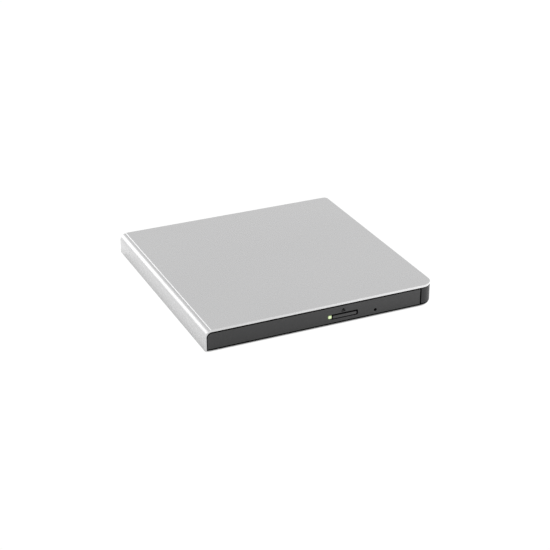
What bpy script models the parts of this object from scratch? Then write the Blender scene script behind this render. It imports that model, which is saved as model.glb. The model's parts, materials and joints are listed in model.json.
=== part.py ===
"""Slim external optical drive with a pull-out tray.

Frame: +Z up, front of the drive towards -Y, origin on the table under the
centre of the case.  Dimensions below are millimetres; meshes are built in metres.
"""
import math

import bpy
import bmesh
from mathutils import Matrix, Vector

for old in list(bpy.data.objects):
    bpy.data.objects.remove(old, do_unlink=True)

MM = 0.001

# ---------------------------------------------------------------- driving sizes
CASE_W, CASE_D, CASE_TOP = 144.0, 142.0, 14.0      # outside width, depth, height over the feet
CASE_BOTTOM = 1.3                                  # underside of the shell over the table
XL, XR = -CASE_W / 2, CASE_W / 2
YF, YB = -CASE_D / 2, CASE_D / 2
COVER_T = 1.0                                      # cover wall
COVER_UNDER = CASE_TOP - COVER_T
RIM_UNDER, RIM_W = 12.45, 1.3                       # the panel turns down round its edge
RIM_R = 3.0                                        # inside of the rim, where it meets the left wall
SPINE_R = 4.2                                      # rounded long edge on the left
SHOULDER_Z = 13.85                                 # top of the spine's curve, below the flat top panel
PANEL_X = -68.4                                    # where the flat top panel steps down to the spine
CORNER_R = 7.4                                     # front right corner, seen from above
BACK_R = 2.4                                       # back right corner
WALL_T = 1.4                                       # lower case walls
FLOOR_TOP = 2.4
WALL_TOP = 12.15
PLINTH_Z, PLINTH_IN = 2.05, 0.45                   # recessed band along the foot of the case
SEAM_X = 63.4                                      # where the fixed corner meets the tray's front
GAP = 0.3

DRIVE_X = -2.5                                     # centre line of the drive mechanism
DRIVE_HALF = 63.6                                  # half width of the mechanism's steel base
DRIVE_FRONT, DRIVE_BACK = -67.4, 58.6
SHEET = 0.5
BASE_Z = 2.6
LID_Z0, LID_Z1 = 11.7, 12.1

BEZEL_Z0, BEZEL_Z1 = 2.05, 12.1
BEZEL_X0, BEZEL_X1 = -70.7, 62.75
BEZEL_BACK = -68.4
SLOT_X0, SLOT_X1, SLOT_Z0, SLOT_Z1 = 5.3, 21.95, 4.3, 7.4
WINDOW_X0, WINDOW_X1, WINDOW_Z0, WINDOW_Z1 = 2.85, 5.5, 4.75, 7.15
EMERGENCY_X, EMERGENCY_Z, EMERGENCY_R = 33.2, 4.85, 0.85

TRAY_HALF, RIM_HALF = 60.45, 62.8
TRAY_Y0, TRAY_Y1 = -68.1, 55.0
TRAY_Z0, TRAY_FLOOR, RIM_Z = 4.3, 8.5, 10.6
TRAY_UNDER = 7.0
HUB_X, HUB_Y = DRIVE_X, -6.5
WELL_R = 60.3

FEED_ANGLE = 230.0                                 # direction the pickup travels, from +X
SHAFT_Z, SHAFT_R = 6.0, 0.9
SHAFT_V_MAIN, SHAFT_V_SUB = -13.0, 11.5
SCREW_V, SCREW_PITCH, SCREW_CREST, SCREW_ROOT = -17.2, 3.0, 1.1, 0.7
LENS_U = 24.5                                      # lens to spindle axis with the pickup parked
FEED_TRAVEL = 32.0
LATCH_X, LATCH_Y = 51.0, -62.0
CATCH_X, CATCH_Y = 49.0, -53.0
PUSH_X, PUSH_Z = -40.0, 5.6


# ---------------------------------------------------------------- helpers
def material(name, colour, rough, metal=0.0, alpha=1.0):
    mat = bpy.data.materials.new(name)
    mat.use_nodes = True
    bsdf = mat.node_tree.nodes["Principled BSDF"]
    bsdf.inputs["Base Color"].default_value = (*colour, 1.0)
    bsdf.inputs["Roughness"].default_value = rough
    bsdf.inputs["Metallic"].default_value = metal
    bsdf.inputs["Alpha"].default_value = alpha
    return mat


SILVER = ((0.56, 0.56, 0.57), 0.38, 0.7)
BLACK = ((0.045, 0.045, 0.048), 0.5, 0.0)
DARK = ((0.02, 0.02, 0.022), 0.55, 0.0)
STEEL = ((0.55, 0.56, 0.58), 0.32, 1.0)
RUBBER = ((0.03, 0.03, 0.03), 0.9, 0.0)
BOARD = ((0.03, 0.16, 0.07), 0.45, 0.0)
CHIP = ((0.02, 0.02, 0.02), 0.4, 0.0)
BRASS = ((0.72, 0.55, 0.25), 0.3, 1.0)
AMBER = ((0.45, 0.2, 0.05), 0.4, 0.0)
GLOW = ((0.75, 0.95, 0.45), 0.2, 0.0)
GLASS = ((0.55, 0.6, 0.9), 0.05, 0.0)
WHITE = ((0.75, 0.75, 0.72), 0.5, 0.0)


def finish(name, bm, look=None, parent=None, place=(0, 0, 0)):
    """Object from a bmesh whose coordinates are millimetres, measured from place."""
    bmesh.ops.recalc_face_normals(bm, faces=bm.faces)
    if bm.calc_volume(signed=True) < 0:
        bmesh.ops.reverse_faces(bm, faces=bm.faces)
    bmesh.ops.scale(bm, vec=(MM, MM, MM), verts=bm.verts)
    mesh = bpy.data.meshes.new(name)
    bm.to_mesh(mesh)
    bm.free()
    mesh.shade_smooth()
    mesh.set_sharp_from_angle(angle=math.radians(35))
    obj = bpy.data.objects.new(name, mesh)
    bpy.context.scene.collection.objects.link(obj)
    if look is not None:
        mesh.materials.append(material(name + "_look", *look))
    if parent is not None:
        obj.parent = parent
    obj.location = Vector(place) * MM
    return obj


def prism(name, points, z0, z1, look=None, parent=None, place=(0, 0, 0)):
    """Closed outline in the XY plane, carried from z0 up to z1."""
    bm = bmesh.new()
    verts = [bm.verts.new((x, y, z0)) for x, y in points]
    face = bm.faces.new(verts)
    grown = bmesh.ops.extrude_face_region(bm, geom=[face])
    bmesh.ops.translate(
        bm,
        vec=(0, 0, z1 - z0),
        verts=[g for g in grown["geom"] if isinstance(g, bmesh.types.BMVert)],
    )
    return finish(name, bm, look, parent, place)


def section(name, points, y0, y1, look=None, parent=None):
    """Closed outline in the XZ plane, carried from y0 to y1."""
    bm = bmesh.new()
    verts = [bm.verts.new((x, y0, z)) for x, z in points]
    face = bm.faces.new(verts)
    grown = bmesh.ops.extrude_face_region(bm, geom=[face])
    bmesh.ops.translate(
        bm,
        vec=(0, y1 - y0, 0),
        verts=[g for g in grown["geom"] if isinstance(g, bmesh.types.BMVert)],
    )
    return finish(name, bm, look, parent)


def box(name, x0, x1, y0, y1, z0, z1, look=None, parent=None, edge=0.0):
    """Block between the given planes, its edges eased by edge."""
    bm = bmesh.new()
    bmesh.ops.create_cube(bm, size=1.0)
    bmesh.ops.scale(bm, vec=(x1 - x0, y1 - y0, z1 - z0), verts=bm.verts)
    bmesh.ops.translate(
        bm, vec=((x0 + x1) / 2, (y0 + y1) / 2, (z0 + z1) / 2), verts=bm.verts
    )
    if edge:
        bmesh.ops.bevel(bm, geom=list(bm.edges), offset=edge, segments=1, affect="EDGES")
    return finish(name, bm, look, parent)


def turned(name, profile, n, look=None, parent=None, place=(0, 0, 0)):
    """Solid of revolution about Z.  profile is (radius, height), first and last on or off the axis."""
    bm = bmesh.new()
    rings = []
    for r, z in profile:
        if r < 1e-6:
            rings.append([bm.verts.new((0, 0, z))])
        else:
            rings.append(
                [
                    bm.verts.new((r * math.cos(2 * math.pi * i / n), r * math.sin(2 * math.pi * i / n), z))
                    for i in range(n)
                ]
            )
    loop = profile[0][0] >= 1e-6
    pairs = list(zip(rings, rings[1:])) + ([(rings[-1], rings[0])] if loop else [])
    for a, b in pairs:
        for i in range(n):
            j = (i + 1) % n
            if len(a) == 1 and len(b) == 1:
                continue
            if len(a) == 1:
                bm.faces.new((a[0], b[i], b[j]))
            elif len(b) == 1:
                bm.faces.new((a[j], a[i], b[0]))
            else:
                bm.faces.new((a[j], a[i], b[i], b[j]))
    return finish(name, bm, look, parent, place)


def rod(name, r, length, n, look=None, parent=None, start=(0, 0, 0), along="X"):
    """Round bar that starts at start and runs along a local axis, with eased ends."""
    bm = bmesh.new()
    e = min(0.15, r * 0.2)
    rings = []
    for s, rr in ((0, r - e), (e, r), (length - e, r), (length, r - e)):
        ring = []
        for i in range(n):
            a = 2 * math.pi * (i + 0.5) / n
            c, d = rr * math.cos(a), rr * math.sin(a)
            p = {"X": (s, c, d), "Y": (d, s, c), "Z": (c, d, s)}[along]
            ring.append(bm.verts.new(p))
        rings.append(ring)
    for a, b in zip(rings, rings[1:]):
        for i in range(n):
            j = (i + 1) % n
            bm.faces.new((a[i], a[j], b[j], b[i]))
    bm.faces.new(rings[0])
    bm.faces.new(rings[-1])
    return finish(name, bm, look, parent, start)


def helper(obj):
    obj.hide_render = True
    obj.display_type = "WIRE"
    return obj


def cut(target, *tools):
    for tool in tools:
        mod = target.modifiers.new("cut_" + tool.name, "BOOLEAN")
        mod.operation, mod.solver, mod.object = "DIFFERENCE", "EXACT", helper(tool)
    return target


def join(target, *tools):
    for tool in tools:
        mod = target.modifiers.new("join_" + tool.name, "BOOLEAN")
        mod.operation, mod.solver, mod.object = "UNION", "EXACT", helper(tool)
    return target


def keep_inside(target, tool):
    mod = target.modifiers.new("trim_" + tool.name, "BOOLEAN")
    mod.operation, mod.solver, mod.object = "INTERSECT", "EXACT", helper(tool)
    return target


def rounded(corners, seg=6):
    """Outline through corners given as (x, y, radius), anticlockwise, with arcs at the corners."""
    out = []
    n = len(corners)
    for i, (x, y, r) in enumerate(corners):
        if r <= 0:
            out.append((x, y))
            continue
        p = Vector((x, y))
        a = (Vector(corners[i - 1][:2]) - p).normalized()
        b = (Vector(corners[(i + 1) % n][:2]) - p).normalized()
        half = math.acos(max(-1, min(1, a.dot(b)))) / 2
        centre = p + (a + b).normalized() * (r / math.sin(half))
        s = p + a * (r / math.tan(half)) - centre
        e = p + b * (r / math.tan(half)) - centre
        turn = s.angle_signed(e)
        for k in range(seg + 1):
            q = centre + Matrix.Rotation(-turn * k / seg, 2) @ s
            out.append((q.x, q.y))
    return out


def circle(cx, cy, r, n, start=0.0):
    return [
        (cx + r * math.cos(start + 2 * math.pi * i / n), cy + r * math.sin(start + 2 * math.pi * i / n))
        for i in range(n)
    ]


def hole(name, x, y, r, z0, z1, n=24, parent=None):
    return prism(name, circle(x, y, r, n), z0, z1, parent=parent)


# ---------------------------------------------------------------- outer shell
def plan(left, front, right, back, r_front, r_back, seg=8):
    return rounded([(left, front, 0), (right, front, r_front), (right, back, r_back), (left, back, 0)], seg)


spine = []
cx, cz = XL + SPINE_R, SHOULDER_Z - SPINE_R
step = math.asin((cx - PANEL_X) / SPINE_R)
for k in range(9):
    a = math.pi / 2 + step + (math.pi / 2 - step) * k / 8
    spine.append((cx + SPINE_R * math.cos(a), cz + SPINE_R * math.sin(a)))
inner = []
for k in range(7):
    a = math.pi - (math.pi / 2) * k / 6
    inner.append((cx + (SPINE_R - COVER_T) * math.cos(a), cz + (SPINE_R - COVER_T) * math.sin(a)))
rim_x, rim_z = XL + COVER_T + RIM_R, RIM_UNDER - RIM_R
rim = []
for k in range(7):
    a = math.pi - (math.pi / 2) * k / 6
    rim.append((math.cos(a), math.sin(a)))
cover_section = (
    [(XR + 3, RIM_UNDER), (XR + 3, CASE_TOP), (PANEL_X + 0.14, CASE_TOP), (PANEL_X, CASE_TOP - 0.1)]
    + spine
    + [(XL, CASE_BOTTOM + 0.2), (XL + 0.2, CASE_BOTTOM), (XL + COVER_T, CASE_BOTTOM)]
    + [(rim_x + RIM_R * c, rim_z + RIM_R * s) for c, s in rim]
)
top_cover = section("top_cover", cover_section, YF - 3, YB + 3, SILVER)
keep_inside(
    top_cover,
    prism("cover_plan", plan(XL - 5, YF, XR, YB, CORNER_R, BACK_R), -2, 20),
)
# inside the rim the panel is only a cover wall thick
hollow = section(
    "cover_hollow", [(XR + 3, 6.0), (XR + 3, COVER_UNDER), (cx + 0.6, COVER_UNDER)] + inner[::-1] + [(XL + COVER_T, 6.0)], YF - 3, YB + 3
)
keep_inside(hollow, prism("hollow_plan", plan(XL - 5, YF + RIM_W, XR - RIM_W, YB - RIM_W, CORNER_R - RIM_W, BACK_R - RIM_W), -2, 20))
cut(top_cover, hollow)
SCREWS = {"left": (-66.0, 65.0), "right": (66.6, 64.6)}
for side, (sx, sy) in SCREWS.items():
    join(top_cover, hole("cover_boss_" + side, sx, sy, 1.9, 4.3, COVER_UNDER + 0.4, 20))
    cut(top_cover, hole("cover_boss_bore_" + side, sx, sy, 0.95, 4.0, 11.0, 16))

lower_plan = plan(XL + COVER_T + GAP, YF, XR, YB, CORNER_R, BACK_R)
bottom_case = prism("bottom_case", lower_plan, PLINTH_Z, WALL_TOP, BLACK)
join(
    bottom_case,
    prism(
        "case_plinth",
        plan(XL + COVER_T + GAP, YF + PLINTH_IN, XR - PLINTH_IN, YB - PLINTH_IN, CORNER_R - PLINTH_IN, BACK_R - PLINTH_IN),
        CASE_BOTTOM,
        PLINTH_Z + 0.5,
    ),
)
cut(
    bottom_case,
    prism(
        "case_cavity",
        rounded(
            [
                (-90, -90, 0), (SEAM_X, -90, 0), (SEAM_X, -64.8, 0), (SEAM_X + WALL_T, -64.8, 0), (SEAM_X + WALL_T, YF + WALL_T, 0),
                (XR - WALL_T, YF + WALL_T, CORNER_R - 2.6), (XR - WALL_T, YB - WALL_T, 1.2), (-90, YB - WALL_T, 0),
            ],
            8,
        ),
        FLOOR_TOP,
        30,
    ),
    box("case_front", -90, SEAM_X, -90, -67.7, PLINTH_Z - GAP, 33),
)
# the back wall follows the inside of the cover's rim
follow = [(XL - 5, rim_z)] + [(rim_x + (RIM_R - GAP) * c, rim_z + (RIM_R - GAP) * s) for c, s in rim]
cut(bottom_case, section("case_shoulder", follow + [(rim_x, 30), (XL - 5, 30)], YB - 8, YB + 8))
# socket opening, its sides clear of the socket's shell
USB_X, USB_Z, USB_W, USB_H = 44.0, 6.9, 7.7, 3.9
cut(bottom_case, box("socket_opening", USB_X - 4.3, USB_X + 4.3, YB - 4, YB + 4, USB_Z - 2.4, USB_Z + 2.4))
for side, (sx, sy) in SCREWS.items():
    join(bottom_case, hole("case_boss_" + side, sx, sy, 2.3, 2.0, 4.0, 20))
    cut(
        bottom_case,
        hole("case_bore_" + side, sx, sy, 0.95, 0, 6, 16),
        hole("case_counterbore_" + side, sx, sy, 1.75, 0, 2.15, 20),
    )
FEET = {
    "foot_front_left": (-58.0, -54.0),
    "foot_front_right": (58.0, -54.0),
    "foot_rear_left": (-58.0, 57.0),
    "foot_rear_right": (56.0, 57.0),
}
for name, (fx, fy) in FEET.items():
    cut(bottom_case, hole(name + "_seat", fx, fy, 5.2, 0, 1.65, 32))
    turned(name, [(0, 0), (4.4, 0), (4.75, 0.12), (4.9, 0.45), (4.9, 1.35), (0, 1.35)], 32, RUBBER, place=(fx, fy, 0))
cut(bottom_case, prism("label_seat", rounded([(-41, -26, 2), (41, -26, 2), (41, 24, 2), (-41, 24, 2)], 3), 0, 1.6))
rating_label = prism(
    "rating_label", rounded([(-40.5, -25.5, 1.6), (40.5, -25.5, 1.6), (40.5, 23.5, 1.6), (-40.5, 23.5, 1.6)], 3), 1.4, 1.52, WHITE
)
BOARD_POSTS = {"a": (-46.0, 65.0), "b": (54.0, 66.4)}
for key, (px, py) in BOARD_POSTS.items():
    join(bottom_case, hole("board_post_" + key, px, py, 1.7, 2.1, 3.3, 16))
    join(bottom_case, hole("board_pin_" + key, px, py, 0.8, 3.0, 5.0, 12))


def screw(name, x, y, z_seat, head_r, head_h, shank_r, length, up=1, look=STEEL):
    """Pan-head cross-recess screw; the head sits on the far side of z_seat from its shank."""
    s = up
    body = turned(
        name,
        [
            (0, -s * head_h), (head_r * 0.72, -s * head_h), (head_r, -s * head_h * 0.45), (head_r, 0),
            (shank_r, 0), (shank_r, s * (length - 0.4)), (shank_r * 0.4, s * length), (0, s * length),
        ],
        20, look, place=(x, y, z_seat),
    )
    w = head_r * 0.2
    z0, z1 = sorted((z_seat - s * head_h * 0.45, z_seat - s * (head_h + 1)))
    cut(body, box(name + "_cross_a", x - head_r * 0.62, x + head_r * 0.62, y - w, y + w, z0, z1))
    cut(body, box(name + "_cross_b", x - w, x + w, y - head_r * 0.62, y + head_r * 0.62, z0 + 0.001, z1 + 0.001))
    return body


for side, (sx, sy) in SCREWS.items():
    screw("case_screw_" + side, sx, sy, 2.05, 1.5, 0.6, 0.7, 7.0)

# ---------------------------------------------------------------- interface board at the back
bridge_board = prism(
    "bridge_board", rounded([(-50, 60.4, 0.8), (60, 60.4, 0.8), (60, 69.0, 0.8), (-50, 69.0, 0.8)], 2), 3.6, 4.6, BOARD
)
for key, (px, py) in BOARD_POSTS.items():
    cut(bridge_board, hole("board_hole_" + key, px, py, 1.15, 2, 6, 16))
half = USB_W / 2
usb_shell = section(
    "usb_shell",
    [(USB_X - half, USB_Z + 1.95), (USB_X - half, USB_Z - 0.5), (USB_X - half + 1.0, USB_Z - 1.95),
     (USB_X + half - 1.0, USB_Z - 1.95), (USB_X + half, USB_Z - 0.5), (USB_X + half, USB_Z + 1.95)],
    61.6, 70.7, STEEL,
)
cut(
    usb_shell,
    section(
        "usb_mouth",
        [(USB_X - half + 0.35, USB_Z + 1.6), (USB_X - half + 0.35, USB_Z - 0.35), (USB_X - half + 1.15, USB_Z - 1.6),
         (USB_X + half - 1.15, USB_Z - 1.6), (USB_X + half - 0.35, USB_Z - 0.35), (USB_X + half - 0.35, USB_Z + 1.6)],
        62.0, 72.0,
    ),
)
usb_insert = box("usb_insert", USB_X - 2.4, USB_X + 2.4, 62.2, 69.2, USB_Z - 0.3, USB_Z + 0.6, DARK, edge=0.12)
bridge_chip = box("bridge_chip", 4, 11, 61.4, 68.2, 4.7, 5.6, CHIP, edge=0.12)
CONN_X0, CONN_X1 = 27.0, 37.5
board_connector = box("board_connector", CONN_X0 - 8, CONN_X1 + 0.5, 59.3, 63.6, 4.8, 8.6, DARK, edge=0.15)
cut(board_connector, box("board_connector_mouth", CONN_X0 - 7, CONN_X1 - 0.5, 58, 62.4, 5.8, 7.6))

# ---------------------------------------------------------------- fixed steel frame of the mechanism
DL, DR = DRIVE_X - DRIVE_HALF, DRIVE_X + DRIVE_HALF
chassis_base = box("chassis_base", DL, DR, DRIVE_FRONT, DRIVE_BACK, BASE_Z, 11.35, STEEL)
cut(
    chassis_base,
    box("chassis_inside", DL + SHEET, DR - SHEET, DRIVE_FRONT - 5, DRIVE_BACK - SHEET, BASE_Z + SHEET, 20),
    box("chassis_connector_window", CONN_X0 - 9.5, CONN_X1 + 3, DRIVE_BACK - 3, DRIVE_BACK + 3, 4.2, 9.4),
)
TABS = {"fl": (-1, -60.0), "fr": (1, -60.0), "bl": (-1, 52.0), "br": (1, 52.0)}
for key, (s, ty) in TABS.items():
    wall = DRIVE_X + s * (DRIVE_HALF - SHEET / 2)
    x0, x1 = sorted((wall, DRIVE_X + s * (DRIVE_HALF - 4.2)))
    join(chassis_base, box("chassis_tab_" + key, x0, x1, ty - 3, ty + 3, 10.92, 11.3))
join(chassis_base, hole("catch_post", CATCH_X, CATCH_Y, 1.0, BASE_Z + 0.2, 4.6, 16))
for k, (hx, hy, hr) in enumerate(((-45, 40, 4), (10, 30, 5), (-30, -45, 4), (-52, 0, 3))):
    cut(chassis_base, hole(f"chassis_opening_{k}", hx, hy, hr, 0, 5, 20))

LID_HALF = 64.3
chassis_lid = section(
    "chassis_lid",
    [(DRIVE_X - LID_HALF, 9.6), (DRIVE_X - LID_HALF + 0.4, 9.6), (DRIVE_X - LID_HALF + 0.4, LID_Z0),
     (DRIVE_X + LID_HALF - 0.4, LID_Z0), (DRIVE_X + LID_HALF - 0.4, 9.6), (DRIVE_X + LID_HALF, 9.6),
     (DRIVE_X + LID_HALF, LID_Z1), (DRIVE_X - LID_HALF, LID_Z1)],
    DRIVE_FRONT, DRIVE_BACK + 0.3, STEEL,
)
for key in ("fr", "bl"):
    s, ty = TABS[key]
    tx = DRIVE_X + s * (DRIVE_HALF - 2.5)
    cut(chassis_base, hole("tab_bore_" + key, tx, ty, 0.85, 10, 12, 14))
    cut(chassis_lid, hole("lid_bore_" + key, tx, ty, 0.85, 11, 13, 14))
    screw("lid_screw_" + {"fr": "front", "bl": "rear"}[key], tx, ty, 12.18, 1.3, 0.5, 0.6, 1.25, up=-1)

for s, side in ((-1, "left"), (1, "right")):
    def sx(v):
        return DRIVE_X + s * v
    y0, y1 = -66.0, 50.0
    pts = [(sx(61.2), 4.4), (sx(62.8), 4.4), (sx(62.8), 8.2), (sx(61.2), 8.2), (sx(61.2), 7.8), (sx(62.4), 7.8), (sx(62.4), 4.8), (sx(61.2), 4.8)]
    section("rail_guide_" + side, pts, y0, y1, STEEL)
    pts = [(sx(60.75), 5.15), (sx(62.1), 5.15), (sx(62.1), 7.55), (sx(60.75), 7.55), (sx(60.75), 7.2), (sx(61.75), 7.2), (sx(61.75), 5.5), (sx(60.75), 5.5)]
    section("slide_rail_" + side, pts, y0 + 0.5, y1 - 1.0, STEEL)

connector_board = prism(
    "connector_board", rounded([(21, 43.5, 1), (59, 43.5, 1), (59, 57.6, 1), (21, 57.6, 1)], 2), 3.6, 4.3, BOARD
)
drive_connector = box("drive_connector", CONN_X0 - 6.6, CONN_X1 - 0.9, 51.5, 61.9, 6.0, 7.4, DARK, edge=0.12)
join(drive_connector, box("drive_connector_body", CONN_X0 - 8.4, CONN_X1 + 1.6, 50.6, 57.8, 4.5, 8.2, edge=0.12))

# ribbon folded back on itself under the tray: fixed end at the back, moving end on the main board
RIBBON_X0, RIBBON_X1, RIBBON_T = 26.0, 41.0, 0.12
ribbon_mid = [(50.0, 3.34)]
for k in range(9):
    a = -math.pi / 2 - math.pi * k / 8
    ribbon_mid.append((-42.5 + 0.5 * math.cos(a), 3.84 + 0.5 * math.sin(a)))
ribbon_mid.append((20.0, 4.34))
upper, lower = [], []
for i, (y, z) in enumerate(ribbon_mid):
    a = Vector(ribbon_mid[max(i - 1, 0)])
    b = Vector(ribbon_mid[min(i + 1, len(ribbon_mid) - 1)])
    d = (b - a).normalized()
    n = Vector((-d.y, d.x)) * RIBBON_T / 2
    upper.append((y + n.x, z + n.y))
    lower.append((y - n.x, z - n.y))
bm = bmesh.new()
left = [bm.verts.new((RIBBON_X0, y, z)) for y, z in upper + lower[::-1]]
right = [bm.verts.new((RIBBON_X1, y, z)) for y, z in upper + lower[::-1]]
m = len(left)
for i in range(m):
    j = (i + 1) % m
    bm.faces.new((left[i], left[j], right[j], right[i]))
h = len(upper)
for side in (left, right):
    for i in range(h - 1):
        bm.faces.new((side[i], side[i + 1], side[m - 2 - i], side[m - 1 - i]))
flex_cable = finish("flex_cable", bm, AMBER)
ribbon_socket = box("ribbon_socket", RIBBON_X0 - 0.6, RIBBON_X1 + 0.6, 20.3, 24.0, 4.1, 4.75, WHITE, edge=0.1)

# ---------------------------------------------------------------- tray
tray_section = [
    (DRIVE_X + s * x, z)
    for s, row in (
        (1, [(TRAY_HALF, TRAY_Z0), (TRAY_HALF, 5.9), (61.45, 5.9), (61.45, 6.8), (TRAY_HALF, 6.8), (TRAY_HALF, TRAY_FLOOR), (RIM_HALF, TRAY_FLOOR), (RIM_HALF, RIM_Z - 0.3), (RIM_HALF - 0.3, RIM_Z)]),
        (-1, [(RIM_HALF - 0.3, RIM_Z), (RIM_HALF, RIM_Z - 0.3), (RIM_HALF, TRAY_FLOOR), (TRAY_HALF, TRAY_FLOOR), (TRAY_HALF, 6.8), (61.45, 6.8), (61.45, 5.9), (TRAY_HALF, 5.9), (TRAY_HALF, TRAY_Z0)]),
    )
    for x, z in row
]
tray = section("tray", tray_section, TRAY_Y0, TRAY_Y1, BLACK)

feed_frame = bpy.data.objects.new("feed_frame", None)
feed_frame.location = (HUB_X * MM, HUB_Y * MM, 0)
feed_frame.rotation_euler = (0, 0, math.radians(FEED_ANGLE))
bpy.context.scene.collection.objects.link(feed_frame)

PX0, PX1 = DRIVE_X - 59.2, DRIVE_X + 59.2
cut(
    tray,
    hole("disc_well", HUB_X, HUB_Y, WELL_R, TRAY_FLOOR, 30, 96),
    prism(
        "tray_pocket",
        [(PX0, -66.9), (PX1, -66.9), (PX1, 39.75), (17.25, 39.75), (17.25, 53.8), (PX0, 53.8)],
        -2, TRAY_UNDER,
    ),
    box("tray_rear_notch", 18.5, 90, 41.0, 90, -3, 31),
    prism("feed_opening", rounded([(-20.5, -22, 3.5), (65.5, -22, 3.5), (65.5, 15.7, 3.5), (-20.5, 15.7, 3.5)], 4), 3, TRAY_FLOOR + 0.1, parent=feed_frame),
    box("stem_opening", 2.5, 17.2, -70, -66, 5.5, 7.2),
    box("emergency_opening", 31.9, 34.9, -70, -66, 3, 6.2),
    box("catch_groove", 47.2, 50.8, 38, 43, 3, 5.1),
    box("connector_groove", 17.0, 57.0, 39.0, 42.0, 3, 4.7),
    box("pusher_opening", -41.7, -38.3, 50, 60, 4.2, 6.95),
)
join(tray, box("pusher_guide", -41.6, -38.4, 30.0, 31.7, 4.4, 7.4))
cut(tray, rod("pusher_bore", 1.0, 6, 16, start=(PUSH_X, 28.0, PUSH_Z), along="Y"))
join(tray, hole("latch_boss", LATCH_X, LATCH_Y, 1.8, 5.0, TRAY_UNDER + 0.4, 16), hole("latch_pivot", LATCH_X, LATCH_Y, 0.75, 3.75, TRAY_UNDER + 0.5, 14))
DAMPERS = {"damper_1": (-22.6, -14.0), "damper_2": (-22.6, 10.0), "damper_3": (40.0, -24.2)}
for name, (du, dv) in DAMPERS.items():
    join(tray, hole(name + "_boss", du, dv, 0.85, 4.6, TRAY_UNDER + 0.4, 12, parent=feed_frame))
# shallow finger scoops in the rim at the front of the well
cut(tray, prism("rim_scoop", rounded([(HUB_X - 13, -73, 0), (HUB_X + 13, -73, 0), (HUB_X + 9, -60, 4), (HUB_X - 9, -60, 4)], 4), 9.4, 14))

bezel_outline = rounded(
    [(BEZEL_X0, BEZEL_Z0, 0.5), (BEZEL_X1, BEZEL_Z0, 0.3), (BEZEL_X1, BEZEL_Z1, 0.25), (BEZEL_X0, BEZEL_Z1, RIM_R - GAP)], 6
)
tray_bezel = section("tray_bezel", bezel_outline, YF, BEZEL_BACK, BLACK)
cut(
    tray_bezel,
    box("bezel_back_pocket", -66.5, 60.5, YF + 1.6, BEZEL_BACK + 3, 8.6, 11.2),
    box("bezel_back_pocket_left", -66.5, -2.0, YF + 1.6, BEZEL_BACK + 3.01, 3.0, 7.6),
    box("button_slot", SLOT_X0, SLOT_X1, YF - 3, BEZEL_BACK + 3, SLOT_Z0, SLOT_Z1),
    box("window_hole", WINDOW_X0, WINDOW_X1, YF - 3.01, BEZEL_BACK + 3.01, WINDOW_Z0, WINDOW_Z1),
    rod("emergency_hole", EMERGENCY_R, 8, 16, start=(EMERGENCY_X, YF - 3, EMERGENCY_Z), along="Y"),
)
# eject mark pressed into the bezel: a bar under a triangle
MARK_X, MARK_Z, MARK_HALF = 12.6, 9.0, 1.3
cut(
    tray_bezel,
    section("mark_triangle", [(MARK_X - MARK_HALF, MARK_Z), (MARK_X + MARK_HALF, MARK_Z), (MARK_X, MARK_Z + 1.3)], YF - 1, YF + 0.3),
    box("mark_bar", MARK_X - MARK_HALF, MARK_X + MARK_HALF, YF - 1, YF + 0.3, MARK_Z - 0.8, MARK_Z - 0.35),
)
eject_button = box("eject_button", 5.9, 21.3, YF, -69.0, 4.55, 6.7, BLACK, edge=0.2)
join(eject_button, box("button_stem", 12.2, 15.8, -69.4, -65.4, 5.95, 6.6))
led_lens = box("led_lens", 3.1, 5.25, YF, -68.8, 5.0, 6.9, GLOW, edge=0.15)
join(led_lens, box("led_pipe", 3.7, 5.1, -69.5, -66.4, 5.95, 6.6))

main_board = prism(
    "main_board",
    rounded([(-28, -66.5, 0.5), (30, -66.5, 1), (30, -49, 1), (56, -49, 1), (56, 30, 1), (25, 30, 1), (25, -1, 1), (-28, -64.2, 0.5)], 2),
    4.9, 5.7, BOARD,
)
main_chip = box("main_chip", 24, 36, -34, -22, 5.8, 6.7, CHIP, edge=0.12)
driver_chip = box("driver_chip", 40, 48, -12, -4, 5.8, 6.6, CHIP, edge=0.12)
tact_switch = box("tact_switch", 11.6, 16.4, -64.7, -61.4, 5.8, 6.9, STEEL, edge=0.1)

tray_bottom_plate = prism(
    "tray_bottom_plate",
    rounded([(-61.5, -66.4, 2), (29.5, -66.4, 1), (29.5, -47, 1), (47.0, -47, 1), (47.0, 39, 1), (16.5, 39, 1), (16.5, 53.4, 1), (-61.5, 53.4, 2)], 3),
    3.7, 4.05, STEEL,
)
cut(
    tray_bottom_plate,
    prism("ribbon_channel", rounded([(24.6, -45.5, 2), (42.4, -45.5, 2), (42.4, 70, 0), (24.6, 70, 0)], 3), 2, 6),
)

# ---------------------------------------------------------------- pickup and spindle unit, in the feed direction's own frame
base_outline = rounded([(-20, -21.5, 3), (65, -21.5, 3), (65, 15.2, 3), (-20, 15.2, 3)], 3)
traverse_base = prism("traverse_base", base_outline, 4.4, 5.1, STEEL, parent=feed_frame)
for name, (du, dv) in DAMPERS.items():
    join(traverse_base, hole(name + "_ear", du, dv, 3.1, 4.42, 5.08, 16, parent=feed_frame))
cut(
    traverse_base,
    prism("sled_window", rounded([(15.8, -15.3, 1), (62.4, -15.3, 1), (62.4, 13.5, 1), (15.8, 13.5, 1)], 2), 3, 7, parent=feed_frame),
    box("screw_window", 7.4, 62.25, -19.8, -14.6, 3.01, 7.01, parent=feed_frame),
    hole("motor_window", 0, 0, 6.0, 2.9, 7.1, 24, parent=feed_frame),
)
for k, (pu, pv) in enumerate(((13.0, SHAFT_V_MAIN), (62.6, SHAFT_V_MAIN), (13.0, SHAFT_V_SUB), (62.6, SHAFT_V_SUB))):
    join(traverse_base, box(f"shaft_post_{k}", pu, pu + 2.0, pv - 1.7, pv + 1.7, 4.7, 7.3, parent=feed_frame))
    cut(traverse_base, box(f"shaft_seat_{k}", pu - 1, pu + 3.2, pv - 1.1, pv + 1.1, SHAFT_Z - 1.05, 9, parent=feed_frame))
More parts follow.
